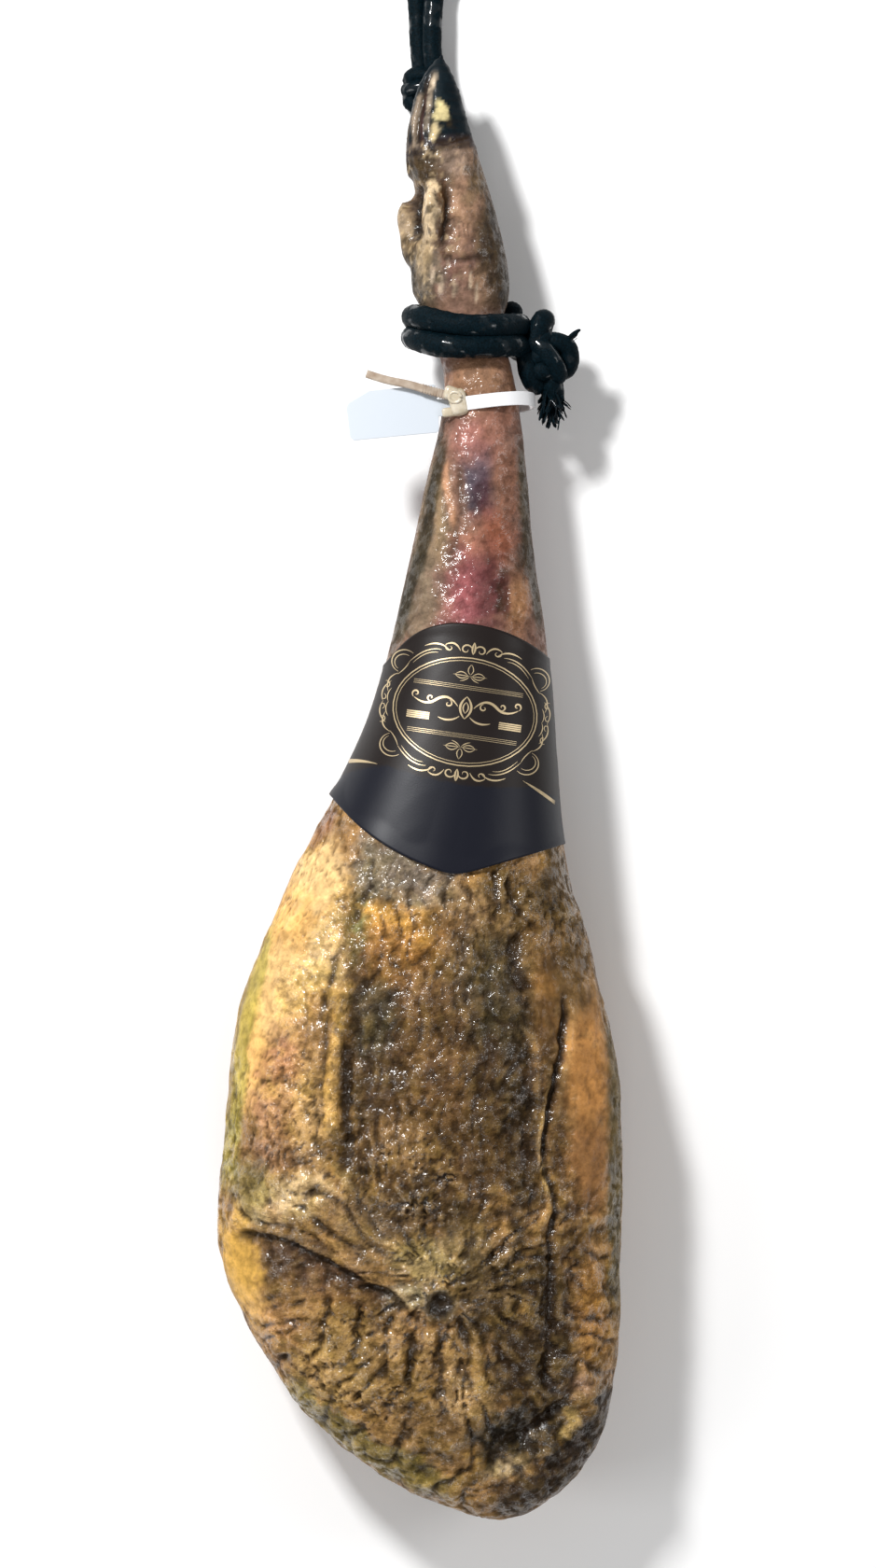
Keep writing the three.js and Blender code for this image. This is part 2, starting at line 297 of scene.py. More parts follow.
def vectors_of(mesh, what="vertices"):
    values = np.empty(len(mesh.vertices) * 3)
    if what == "vertices":
        mesh.vertices.foreach_get("co", values)
    else:
        mesh.vertex_normals.foreach_get("vector", values)
    return values.reshape(-1, 3)


skin_grain = 0.0033
work = bmesh.new()
work.from_mesh(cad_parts["ham"].data)
bmesh.ops.remove_doubles(work, verts=work.verts, dist=1e-5)
ham = link_mesh("cured_ham", work)
remesh = ham.modifiers.new("even_skin", "REMESH")
remesh.mode = "VOXEL"
remesh.voxel_size = skin_grain
bake_modifiers(ham)
work = bmesh.new()
work.from_mesh(ham.data)
work.normal_update()
cut_face = [f for f in work.faces if f.normal.z > 0.15 or f.calc_center_median().y > 0.28]
cut_edges = list({e for f in cut_face for e in f.edges})
bmesh.ops.subdivide_edges(work, edges=cut_edges, cuts=1, use_grid_fill=True)
bmesh.ops.triangulate(work, faces=[f for f in work.faces if len(f.verts) > 4])
work.to_mesh(ham.data)
work.free()

place = vectors_of(ham.data)
edges = np.empty(len(ham.data.edges) * 2, dtype=np.int64)
ham.data.edges.foreach_get("vertices", edges)
edges = edges.reshape(-1, 2)
valence = np.bincount(edges.ravel(), minlength=len(place))[:, None]


def relaxed(values, rounds, share=0.5):
    """Each point moves towards the mean of its neighbours; share may differ from point to point."""
    for _ in range(rounds):
        total = np.zeros_like(values)
        for k in range(values.shape[1]):
            total[:, k] = (np.bincount(edges[:, 0], values[edges[:, 1], k], len(values))
                           + np.bincount(edges[:, 1], values[edges[:, 0], k], len(values)))
        values = values + share * (total / valence - values)
    return values


def ease(low, high, value):
    """0 below low, 1 above high, smooth between."""
    t = np.clip((value - low) / (high - low), 0, 1)
    return t * t * (3 - 2 * t)


gentle = (0.5 - 0.485 * ease(0.262, 0.282, place[:, 1]))[:, None]
resting = place[:, 2] < 0.0006
before = place.copy()
rounds = 110
place = relaxed(place, rounds, gentle)
ham.data.vertices.foreach_set("co", place.ravel())
ham.data.update()
facing = vectors_of(ham.data, "normals")
shrunk = relaxed(((before - place) * facing).sum(axis=1)[:, None], rounds)
place = place + facing * shrunk
claw_root = 0.362
claw_growth = (before[:, 1].max() - claw_root + 0.0015) / (place[:, 1].max() - claw_root)
stretched = claw_root + (place[:, 1] - claw_root) * claw_growth
place[:, 1] = np.where(place[:, 1] > claw_root, stretched, place[:, 1])
place[resting, 2] = 0.0
place[:, 2] = np.maximum(place[:, 2], 0.0)
ham.data.vertices.foreach_set("co", place.ravel())
ham.data.update()
facing = vectors_of(ham.data, "normals")
bare_skin = BVHTree.FromPolygons(place.tolist(), [tuple(p.vertices) for p in ham.data.polygons])

# Places on the ham are in millimetres from here on: x across, y along the leg, as they look from
# above, where what is nearer the eye stands a little further out.
X, Y, Z = (place * 1000).T
spread = 1 + Z / (1000 * view_height) * ease(284, 262, Y)
X, Y = X * spread, Y * spread
up_face = ease(-0.15, 0.35, facing[:, 2])


def grain(size, octaves=3, shift=0.0, stretch=(1, 1, 1), warp=0.0):
    """Cloudy noise from -1 to 1 whose lumps are about size mm wide, longer where stretched."""
    at = np.stack([X / stretch[0], Y / stretch[1], Z / stretch[2]], axis=1) / size + shift
    if warp:
        at = at + warp * np.stack([drift_a, drift_b, drift_a * 0], axis=1) / size
    return np.array([noise.fractal(p, 0.9, 2.0, octaves) for p in at.tolist()])


drift_a = grain(42, 2, 11.3) * 12
drift_b = grain(42, 2, 27.9) * 12
ragged_edge = 0.6 * grain(16, 4, 3.7) + 0.4 * grain(5, 3, 8.1)


def patch_of(x, y, rx, ry, turn=0, soft=0.45, ragged=0.55):
    """A soft oval area on the face, 1 in its middle, with a ragged edge."""
    c, s = math.cos(math.radians(turn)), math.sin(math.radians(turn))
    dx, dy = X - x, Y - y
    far = np.hypot((dx * c + dy * s) / rx, (dy * c - dx * s) / ry)
    return ease(1 + soft, 1 - soft, far + ragged * ragged_edge)


def line_of(points):
    """For each point of the skin: distance to a smooth line, which side it is on, and how far along."""
    line = smooth_path([(x, y, 0) for x, y in points], 4.0)[:, :2]
    best = np.full(len(X), 1e9)
    side = np.zeros(len(X))
    along = np.zeros(len(X))
    travelled = 0.0
    for a, b in zip(line[:-1], line[1:]):
        step = b - a
        length = np.hypot(*step)
        t = np.clip(((X - a[0]) * step[0] + (Y - a[1]) * step[1]) / length ** 2, 0, 1)
        away = np.hypot(X - a[0] - t * step[0], Y - a[1] - t * step[1])
        closer = away < best
        best[closer] = away[closer]
        turn = (step[0] * (Y - a[1]) - step[1] * (X - a[0])) / length
        side[closer] = np.sign(turn[closer])
        along[closer] = (travelled + t * length)[closer]
        travelled += length
    return best, side, along / travelled


def taper(along, at_start=0.12, at_end=0.12):
    return ease(0, at_start, along) * ease(1, 1 - at_end, along)


smooth_fat = np.clip(patch_of(100, -175, 16, 70, 3, 0.5, 0.5) + patch_of(76, -128, 9, 28, 0, 0.5, 0.5)
                     + patch_of(-70, -70, 16, 44, -32, 0.5, 0.5) + patch_of(-96, -140, 11, 50, -6, 0.5, 0.5)
                     + patch_of(-104, -290, 12, 30, 14, 0.5, 0.5), 0, 1) * up_face

# Relief, in millimetres outwards.
relief = np.zeros(len(X))
unevenness = np.clip(0.5 + 0.9 * grain(14, 2, 61.0), 0, 1)
body = ease(130, 20, Y)
lean = np.maximum.reduce([
    patch_of(12, -165, 62, 110, 0, 0.3, 0.3),
    patch_of(5, -350, 85, 60, 20, 0.3, 0.3),
]) * up_face
foot = ease(272, 284, Y)
horn = ease(366, 374, Y)


def lump(x, y, rx, ry, height, turn=0, soft=0.7, ragged=0.2):
    relief[:] += height * patch_of(x, y, rx, ry, turn, soft, ragged) * up_face


def furrow(points, width, depth, lip=0.0, lip_side=1, start=0.15, end=0.15):
    """A crease along a line in a shallow dip, and a raised lip beside it."""
    away, side, along = line_of(points)
    away = np.abs(away * side + 1.3 * width * ragged_edge)
    fade = taper(along, start, end) * up_face * (0.75 + 0.5 * unevenness)
    profile = 0.75 * np.exp(-(away / width) ** 2) + 0.4 * np.exp(-(away / (3.2 * width)) ** 2)
    relief[:] -= depth * profile * fade
    if lip:
        beside = np.exp(-((away - 2.3 * width) / (1.6 * width)) ** 2) * (side == lip_side)
        relief[:] += lip * beside * fade


def step_down(points, reach, height, low_side):
    """A ledge: the skin drops at the line and rises slowly again on the low side."""
    away, side, along = line_of(points)
    below = (side == low_side) * np.exp(-away / reach) * ease(-0.5, 2.2, away)
    relief[:] -= height * below * taper(along, 0.1, 0.2) * up_face


def ridge(points, width, height, start=0.1, end=0.1):
    away, _, along = line_of(points)
    relief[:] += height * np.exp(-(away / width) ** 2) * taper(along, start, end) * up_face


relief += 2.2 * grain(70, 2, 5.1) * body
relief += 1.1 * grain(26, 3, 1.7) * body
rump = ease(-215, -250, Y) * body * ease(0.1, 0.75, facing[:, 2])


def folded(size, octaves, shift, stretch=(1, 1, 1), warp=0.9):
    """Rounded folds with sharp valleys between them, from -1 to 1."""
    return 2 * np.sqrt(np.clip(np.abs(grain(size, octaves, shift, stretch, warp)) * 2.2, 0, 1)) - 1


def spreading(x, y, size, stretch, shift):
    """Folds that run away from a point in the face, longer than they are wide."""
    dx, dy = X - x + drift_a * 0.8, Y - y + drift_b * 0.8
    far = np.hypot(dx, dy)
    angle = np.arctan2(dy, dx)
    at = np.stack([angle * 75 / size, far / (size * stretch), far * 0 + shift], axis=1)
    ridged = np.array([noise.fractal(p, 0.9, 2.0, 2) for p in at.tolist()])
    return 2 * np.clip(np.abs(ridged) * 2.2, 0, 1) ** 0.75 - 1


# Leathery folds: along the leg over the lean, drawn towards the bone's end over the rump, shallow in
# the fat.
relief += lean * (1 - rump) * (0.95 * folded(11.0, 2, 2.2, (1, 3.0, 1.5))
                               + 0.42 * folded(5.2, 2, 9.4, (1, 1.8, 1.5)))
relief += rump * (1 - 0.7 * smooth_fat) * unevenness * (2.0 * spreading(13, -300, 13, 3.0, 12.2)
                                                      + 0.7 * spreading(13, -300, 6, 3.4, 3.2))
relief += rump * (1 - 0.7 * smooth_fat) * (0.7 * folded(17, 2, 12.2, (1.6, 1, 1), 1.3)
                                           + 0.18 * folded(5.0, 2, 17.4, (1, 1.4, 1), 1.3))
relief += ((1 - lean) * (1 - rump) * body * up_face * (1 - 0.6 * smooth_fat)
           * (0.55 * folded(14, 2, 6.2, (1, 2.4, 1)) + 0.15 * folded(5.2, 2, 26.2)))
wrinkled_fat = patch_of(-80, -190, 22, 46, 0, 0.5, 0.4) + patch_of(-60, -225, 26, 30, 0, 0.5, 0.4)
relief += np.clip(wrinkled_fat, 0, 1) * up_face * 0.8 * folded(6.5, 3, 41.2, (1.4, 1, 1))
neck = ease(-10, -45, Y) * ease(-105, -85, Y)
relief += neck * up_face * 0.55 * folded(4.6, 3, 51.2, (1, 3.2, 1))


def fan(x, y, reach, start_angle, end_angle, folds, height, near=0.15):
    """Folds that spread unevenly from a point, like cloth drawn together."""
    dx, dy = X - x + drift_a * 0.45, Y - y + drift_b * 0.45
    far = np.hypot(dx, dy) / reach
    angle = np.degrees(np.arctan2(dy, dx)) + 16 * ragged_edge
    middle, half = (start_angle + end_angle) / 2, (end_angle - start_angle) / 2
    off = np.abs((angle - middle + 180) % 360 - 180)
    inside = ease(half, half * 0.55, off) * ease(near * 0.5, near * 1.5, far) * ease(1.05, 0.7, far)
    at = np.stack([np.radians(angle) * folds, far * 3.2, far * 0], axis=1)
    wave = np.array([noise.fractal(p, 0.9, 2.0, 2) for p in at.tolist()])
    relief[:] += height * (1 - 2.4 * np.abs(wave)) * inside * up_face * (0.6 + 0.7 * unevenness)


fan(30, -185, 95, 205, 262, 12, 2.3, 0.3)
fan(8, -285, 115, 196, 300, 9, 1.6, 0.25)
fan(38, -240, 95, 255, 300, 8, 1.4, 0.3)

# The fat's edge left of the lean: two creases with a ridge between them.
furrow([(-45, -91), (-52, -115), (-60, -144)], 2.8, 1.4, 0.8, -1)
ridge([(-40, -112), (-46, -140), (-50, -165), (-51, -192), (-49, -216)], 4.4, 3.2)
furrow([(-44, -146), (-43.5, -186), (-42, -212), (-46, -232)], 3.4, 3.2)
lump(-28, -180, 16, 46, -2.4)
# The knuckle and the fold under it.
lump(-74, -241, 24, 15, 5.0, 14)
lump(-50, -252, 20, 10, 2.5, 25)
step_down([(-112, -262), (-92, -264), (-71, -271), (-46, -284), (-31, -293), (-14, -300), (4, -318)],
          16, 6.0, -1)
ridge([(-48, -276), (-30, -288), (-14, -297)], 2.4, 1.6)
furrow([(-50, -229), (-60, -238), (-70, -252)], 2.0, 2.2)
# The long seam on the right, with a cord-like ridge beside it.
seam = [(85, -117), (85, -148), (81, -170), (76, -197), (74, -222), (80, -246), (78, -275)]
furrow(seam + [(80, -330)], 1.9, 3.6, 1.2, 1)
seam_cord = [(80, -165), (75, -190), (72, -212), (74.5, -232), (79, -247)]
ridge(seam_cord + [(74, -262)], 2.1, 2.4)
furrow([(52, -86), (58, -102), (63, -124)], 4.0, 2.6)
lump(98, -165, 16, 62, 2.4)
lump(70, -125, 11, 44, 2.0)
furrow([(66, -150), (64, -200), (66, -250)], 3.4, 1.6)
# The end of the hip bone, the hollow beside it and the loose flap at the rump.
bone_end_x, bone_end_y, bone_rim = 13, -307, 9.5
from_bone_end = np.hypot(X - bone_end_x, Y - bone_end_y)
relief *= 1 - 0.85 * ease(10, 7.5, from_bone_end + 1.5 * ragged_edge)
bone_ring = np.exp(-((from_bone_end - bone_rim + 2.2 * ragged_edge) / 2.4) ** 2)
relief += up_face * 2.4 * (0.5 + unevenness) * bone_ring
lump(bone_end_x, bone_end_y, 6.6, 6.2, -1.5, 0, 0.4, 0.3)
lump(-3, -303, 12, 8, 2.2)
lump(68, -388, 30, 17, -6.5, 34)
furrow([(48, -392), (66, -385), (86, -366), (93, -350)], 3.0, 3.4, 2.0, -1)
furrow([(74, -290), (77, -320), (74, -345), (80, -365)], 3.4, 3.8, 1.2, -1)
ridge([(60, -404), (82, -392), (98, -374), (103, -352)], 4.5, 2.6)
ridge([(84, -352), (92, -360), (97, -366)], 3.0, 2.4)
lump(20, -360, 22, 28, 2.4, -20)
lump(-52, -345, 26, 20, 2.0, 30)
for at_x, at_y, lean_over in ((-34, -322, 6), (-18, -330, 4), (-4, -338, 2), (12, -342, -1), (28, -338, -3),
                              (-52, -318, 9)):
    fold = [(at_x, at_y + 18), (at_x - lean_over * 0.4, at_y), (at_x - lean_over, at_y - 22)]
    furrow(fold, 2.0, 2.4, 1.0, 1)
# Folds under the label and down the shank.
furrow([(-27, -40), (-31, -62), (-40, -84)], 2.0, 1.4)
furrow([(44, -48), (46, -66), (43, -84)], 1.8, 2.0, 0.8, 1)
furrow([(52, -52), (56, -72), (70, -88)], 1.6, 1.6)
furrow([(55, 130), (49, 118), (51, 100)], 4.0, 1.2, 0.8, 1)
lump(58, 108, 7, 15, 1.8)
lump(30, 176, 9, 13, -1.0)
lump(12, 160, 3, 20, 0.9)
furrow([(22, 195), (24, 160), (17, 130)], 2.4, 1.0)

# The foot: dewclaws with a dark gap between them, the cleft of the claws, small folds at the joint.
furrow([(0, 349), (-1.5, 338), (-2.5, 326), (-1, 314)], 1.8, 4.5)
furrow([(14, 349), (15.5, 338), (16, 324), (13, 309)], 1.3, 1.8, 0.7, -1)
furrow([(9.5, 346), (9, 330), (10, 314)], 0.9, 0.8)
lump(6, 331, 4.5, 15, 1.4)
lump(-9, 327, 4, 13, 1.2)
furrow([(9, 416), (4.5, 408), (1.5, 396), (-1.5, 380), (0, 366)], 1.0, 1.8, 0.6, -1)
furrow([(6, 410), (6.5, 396), (5, 384), (6, 372)], 0.9, 1.0)
furrow([(8, 372), (16, 371), (24, 373.5), (31, 375)], 1.1, 1.2, 0.8, -1)
for step in range(6):
    furrow([(17 + 2.6 * step, 329 - step), (18 + 2.6 * step, 323 - step), (17.6 + 2.7 * step, 317 - step)],
           0.7, 0.8)
furrow([(12, 306), (22, 303), (36, 306), (46, 304)], 1.3, 0.9, 0.6, 1)
lump(12, 382, 5, 6, 1.3, 0, 0.3, 1.2)
lump(17, 376, 4, 4, 0.9, 0, 0.3, 1.2)

# Fine crumple everywhere, finer on the foot; the horn has only growth lines.
relief += 0.14 * (1 - 2 * np.abs(grain(3.6, 2, 4.4))) * (0.35 + 0.65 * lean) * (1 - horn)
relief += foot * (1 - horn) * up_face * 0.30 * folded(6.5, 2, 7.7, (1, 2.2, 1), 0.5)
relief += foot * (1 - horn) * up_face * 0.12 * folded(2.6, 2, 71.7)
relief += horn * 0.12 * np.sin(Y * 1.5 + 2.0 * ragged_edge)
label_seat = ease(-58, -44, Y + 0.25 * np.abs(X - 20)) * ease(102, 90, Y)
relief = np.where(relief > -0.1, relief * (1 - label_seat) - 0.1 * label_seat, relief)
pressed = ease(2.5, 16, Z)
relief = relief * pressed
place = place + facing * relief[:, None] / 1000
place[:, 2] = np.maximum(place[:, 2], 0.0)
ham.data.vertices.foreach_set("co", place.ravel())
ham.data.polygons.foreach_set("use_smooth", [True] * len(ham.data.polygons))
ham.data.update()


def rgb(red, green, blue):
    """A screen colour from 0 to 255 as the linear colour that a shader takes."""
    return np.array([(c / 255 / 12.92) if c <= 10 else ((c / 255 + 0.055) / 1.055) ** 2.4
                     for c in (red, green, blue)])


golden_fat = rgb(222, 172, 102)
pale_fat = rgb(224, 188, 132)
edge_shade_olive = rgb(164, 150, 62)
olive = rgb(116, 100, 56)
dark_brown = rgb(78, 52, 28)
near_black = rgb(40, 28, 18)
pink_brown = rgb(168, 122, 88)

colour = np.tile(rgb(160, 120, 72), (len(X), 1))


def tint(mask, shade, strength=1.0):
    colour[:] = colour + (shade - colour) * (np.clip(mask, 0, 1) * strength)[:, None]


def patch(x, y, rx, ry, shade, strength=0.9, turn=0, soft=0.45, ragged=0.7):
    tint(patch_of(x, y, rx, ry, turn, soft, ragged) * up_face, shade, strength)


def patches(*rows):
    """Several patches in a row, each with its screen colour from 0 to 255 or a named shade."""
    for x, y, rx, ry, shade, *rest in rows:
        patch(x, y, rx, ry, rgb(*shade) if isinstance(shade, tuple) else shade, *rest)


def streak(points, width, shade, strength=0.9, ragged=0.5):
    away, _, along = line_of(points)
    away = away + width * ragged * ragged_edge
    tint(ease(width * 1.25, width * 0.5, away) * taper(along, 0.15, 0.15) * up_face, shade, strength)


# The underside is bare fat and skin, amber with darker stains.
under = 1 - up_face
tint(under, rgb(170, 118, 58), 1.0)
tint(under * ease(-0.1, 0.5, grain(50, 3, 14.2)), rgb(120, 80, 40), 0.8)
tint(under * ease(0.1, 0.6, grain(30, 3, 19.2)), rgb(196, 156, 88), 0.6)

# Left fat.
streak([(-50, -30), (-70, -60), (-82, -95), (-90, -135), (-95, -170), (-99, -205)], 27, golden_fat, 1.0, 0.25)
patch(-60, -52, 16, 26, pale_fat, 0.7, 15)
patch(-82, -118, 14, 30, pale_fat, 0.5)
# Painted shade: an olive band along the left edge, and a thin darker line at its rim, where the fat turns away
# from the light.
streak([(-84, -70), (-97, -112), (-107, -160), (-112, -210), (-114, -250)], 7, edge_shade_olive, 0.8, 0.5)
streak([(-66, -20), (-93, -90), (-110, -150), (-117, -215)], 3, rgb(140, 112, 92), 0.5, 0.3)
patches(
    (-76, -148, 10, 12, pink_brown, 0.6, 8),
    (-80, -168, 12, 14, (172, 116, 84), 0.75),
    (-84, -196, 15, 18, (176, 128, 94), 0.8),
    (-88, -219, 17, 12, pink_brown, 0.8),
    (-64, -190, 11, 32, (198, 158, 100), 0.7),
)
streak([(-28, -50), (-35, -76), (-37, -98), (-36, -114)], 8, olive, 0.8, 0.8)
streak([(-31, -66), (-36, -94)], 5, rgb(150, 150, 106), 0.7, 0.8)
patch(-54, -104, 11, 26, pale_fat, 0.8, 12)
patch(-52, -128, 9, 12, golden_fat, 0.6)
# Painted shade in the first crease.
streak([(-45, -91), (-52, -115), (-60, -144)], 2.0, dark_brown, 0.3, 0.8)
streak([(-40, -112), (-46, -140), (-51, -168), (-52, -212)], 5, rgb(206, 160, 86), 0.9, 0.6)
# Painted shade in the second crease and below it.
streak([(-44, -146), (-43, -186), (-41, -212)], 3.4, dark_brown, 0.6, 0.8)
streak([(-42, -196), (-45, -232)], 5, near_black, 0.6, 0.8)

# The lean and what surrounds it.
patches(
    (14, -165, 60, 96, (112, 80, 46), 0.95, 0, 0.25, 0.5),
    (-30, -165, 18, 60, (84, 62, 38), 0.85),
    (-26, -134, 12, 26, (84, 76, 58), 0.7),
    (10, -104, 26, 20, (140, 104, 66), 0.7),
    (46, -166, 20, 54, (76, 54, 30), 0.9),
    # Painted shadow: the green-grey patch beside the bulge on the right.
    (52, -124, 16, 34, (64, 58, 42), 0.9),
    (60, -104, 7, 16, near_black, 0.6, 0, 0.7),
    (-8, -92, 22, 14, (200, 142, 68), 0.9, -8),
    (36, -112, 20, 30, (88, 74, 52), 0.6),
    (-14, -76, 20, 7, (212, 156, 80), 0.9, -6),
    (-15, -104, 20, 14, (150, 104, 54), 0.8),
    (8, -64, 20, 10, (158, 136, 112), 0.8),
    (-14, -50, 26, 18, (126, 114, 100), 0.9, -25),
    (38, -72, 20, 14, (150, 118, 82), 0.8),
    (60, -66, 20, 20, (104, 78, 42), 0.85),
    (82, -66, 14, 30, (92, 70, 38), 0.85),
    (75, -124, 10, 36, (144, 102, 50), 0.9),
    (73, -90, 12, 14, (128, 94, 54), 0.8),
    (99, -176, 12, 46, (186, 130, 70), 0.95, 4),
    (100, -224, 14, 28, (160, 112, 66), 0.8),
    (90, -112, 11, 26, (104, 78, 42), 0.85),
    (10, -226, 50, 30, (100, 72, 40), 0.85),
    (-8, -212, 18, 16, (160, 122, 74), 0.6),
    (62, -216, 14, 50, (70, 50, 28), 0.9),
)
# Painted shade in the seam's crease and a painted highlight along the cord beside it.
streak(seam, 2.2, near_black, 0.8, 0.4)
streak(seam_cord, 1.8, rgb(186, 150, 100), 0.9, 0.3)

# The knuckle, the fold and the rump.
patches(
    (-72, -243, 26, 13, (200, 170, 124), 0.9, 12),
    (-98, -240, 12, 18, (150, 134, 88), 0.7),
    (-40, -256, 26, 12, (150, 118, 78), 0.7, -20),
    (-74, -282, 30, 14, (92, 66, 48), 0.9, -16),
    (-38, -303, 26, 16, (116, 80, 50), 0.85, -24),
    (-106, -285, 11, 34, (206, 160, 76), 0.95, 12),
    (-92, -318, 10, 20, (200, 156, 92), 0.8, 26),
    (-78, -330, 16, 20, (170, 122, 78), 0.8, 26),
    (-22, -262, 26, 20, (150, 120, 84), 0.7),
    (6, -282, 24, 16, (172, 150, 104), 0.8, 10),
    (28, -270, 14, 14, (150, 124, 80), 0.7),
    (-8, -302, 12, 8, (176, 162, 130), 0.85),
    (bone_end_x, bone_end_y, 10.5, 10, (80, 74, 63), 0.9, 0, 0.2, 0.15),
    (42, -300, 24, 30, (84, 66, 40), 0.85),
    (76, -318, 13, 54, (62, 42, 22), 0.95, 0, 0.4, 0.5),
    (102, -312, 9, 30, (176, 124, 64), 0.9),
    (88, -272, 12, 18, (104, 74, 42), 0.8),
    (-44, -336, 34, 26, (166, 130, 82), 0.85),
    (-52, -352, 24, 16, (182, 144, 88), 0.85, 20),
    (-5, -345, 30, 22, (156, 120, 74), 0.85),
    (16, -372, 34, 34, (142, 108, 64), 0.85),
    (54, -342, 16, 30, (64, 46, 24), 0.95),
    (28, -358, 16, 16, (172, 136, 88), 0.85),
    (62, -384, 28, 16, (62, 56, 44), 0.95, 20),
    (66, -378, 14, 7, near_black, 0.8, 10),
)
# Painted shade: an olive band along the lower left edge.
streak([(-84, -345), (-60, -372), (-30, -394), (0, -408), (30, -418)], 10, rgb(132, 118, 62), 0.75, 0.9)
patch(54, -405, 12, 6, rgb(206, 178, 142), 0.9, 18)
streak([(88, -366), (93, -378), (84, -390)], 4, rgb(190, 158, 106), 0.9, 0.4)
patch(92, -356, 8, 7, rgb(176, 136, 104), 0.9, -50)
# Painted shade: dark streaks down the lower right edge, the right side and its upper part, where the ham turns
# away from the light.
streak([(112, -345), (106, -376), (88, -402), (62, -420), (36, -424)], 11, rgb(58, 42, 30), 0.95, 0.4)
streak([(112, -100), (117, -180), (118, -260), (116, -330)], 7, rgb(92, 82, 40), 0.8, 0.7)
streak([(92, -40), (104, -90), (113, -130)], 7, rgb(96, 72, 46), 0.8, 0.6)
streak([(-50, -12), (-58, -26), (-66, -40)], 6, rgb(132, 78, 48), 0.7, 0.8)

# The shank above the label.
shank = ease(62, 84, Y) * ease(286, 276, Y)
tint(shank, rgb(132, 97, 82), 1.0)
patches(
    (8, 140, 13, 60, (134, 112, 86), 0.95, -10, 0.7),
    (-9, 108, 6, 34, (66, 58, 38), 0.9, -12, 0.7),
    (6, 176, 5, 36, (112, 92, 66), 0.8, -10, 0.7),
    (2, 112, 9, 26, (132, 114, 94), 0.7, -8, 0.7),
    (32, 200, 14, 18, (160, 104, 94), 0.9, 0, 0.8),
    (36, 236, 22, 16, (150, 112, 84), 0.9),
    (46, 214, 10, 12, (148, 102, 84), 0.8),
    (32, 176, 11, 18, (96, 88, 100), 0.95, -12, 0.7, 0.5),
    (39, 168, 6, 14, (82, 46, 54), 0.9, 10, 0.8, 0.6),
    (22, 168, 6, 18, (150, 110, 88), 0.8),
    (52, 180, 8, 24, (134, 92, 72), 0.85),
    (46, 146, 11, 14, (154, 90, 64), 0.85, 8, 0.8),
    (30, 140, 9, 13, (156, 104, 82), 0.85, 0, 0.8),
    (30, 112, 13, 24, (152, 82, 86), 0.9, 8, 0.9),
    (26, 90, 14, 10, (146, 84, 88), 0.8, 0, 0.8),
    (43, 116, 8, 22, (98, 50, 52), 0.85, 6, 0.9, 0.5),
    (58, 104, 6.5, 18, (150, 104, 72), 0.9, 0, 0.8, 0.4),
)
streak([(51, 128), (50, 112), (52, 96)], 3.0, rgb(84, 42, 38), 0.8, 0.6)
streak([(62, 212), (63, 170), (66, 136), (71, 110), (73, 84)], 5, rgb(78, 62, 36), 0.95, 0.5)
patch(62, 134, 6, 9, rgb(60, 46, 26), 0.8)
streak([(15, 196), (16, 176), (22, 150)], 2.4, rgb(190, 140, 106), 0.7, 0.5)
streak([(16, 216), (10, 180), (2, 140), (-9, 104), (-14, 84)], 4, rgb(52, 44, 24), 0.85, 0.5)
patch(28, 224, 8, 3, rgb(196, 140, 120), 0.7)

# The foot, its dewclaws and horn.
tint(foot, rgb(108, 88, 72), 1.0)
patches(
    (4, 296, 14, 20, (112, 100, 84), 0.9),
    (24, 298, 12, 14, (132, 92, 82), 0.8),
    (38, 290, 12, 12, (150, 118, 94), 0.85),
    (22, 282, 12, 8, (140, 108, 92), 0.8),
)
for x, y in ((12, 288), (20, 286), (7, 294), (29, 290), (16, 302), (33, 284)):
    streak([(x, y - 5), (x + 0.6, y), (x + 0.2, y + 7)], 1.1, rgb(186, 166, 142), 0.7, 0.6)
patches(
    (24, 312, 14, 13, (104, 76, 68), 0.9, 0, 0.8),
    (28, 336, 12, 28, (158, 122, 98), 0.95, -12, 0.7),
    (20, 360, 9, 8, (156, 132, 114), 0.85, 0, 0.7),
    (34, 350, 6, 14, (104, 86, 60), 0.8, -14),
    # Painted shade: the dark band down the right side of the foot.
    (41, 330, 6, 32, (66, 52, 36), 0.95, -12, 0.7),
    (47, 300, 7, 26, (66, 52, 34), 0.95, -8, 0.7),
    (50, 286, 4, 12, (56, 44, 28), 0.9),
    (2, 358, 9, 14, (72, 56, 34), 0.9),
    (13.5, 340, 3, 14, (96, 62, 34), 0.85),
    (14, 322, 4, 16, (80, 54, 36), 0.8),
    (6, 330, 4.6, 15, (186, 164, 132), 0.95, 2, 0.3, 0.6),
    (8, 345, 4, 3.6, (190, 168, 136), 0.9, 0, 0.3, 0.4),
    (3, 309, 5, 10, (166, 142, 106), 0.8),
    (-9, 328, 4.5, 14, (150, 132, 110), 0.95, 6, 0.3, 0.4),
    (-7, 305, 4, 14, (92, 76, 54), 0.8),
    (-7, 288, 4, 12, (40, 34, 24), 0.9),
)
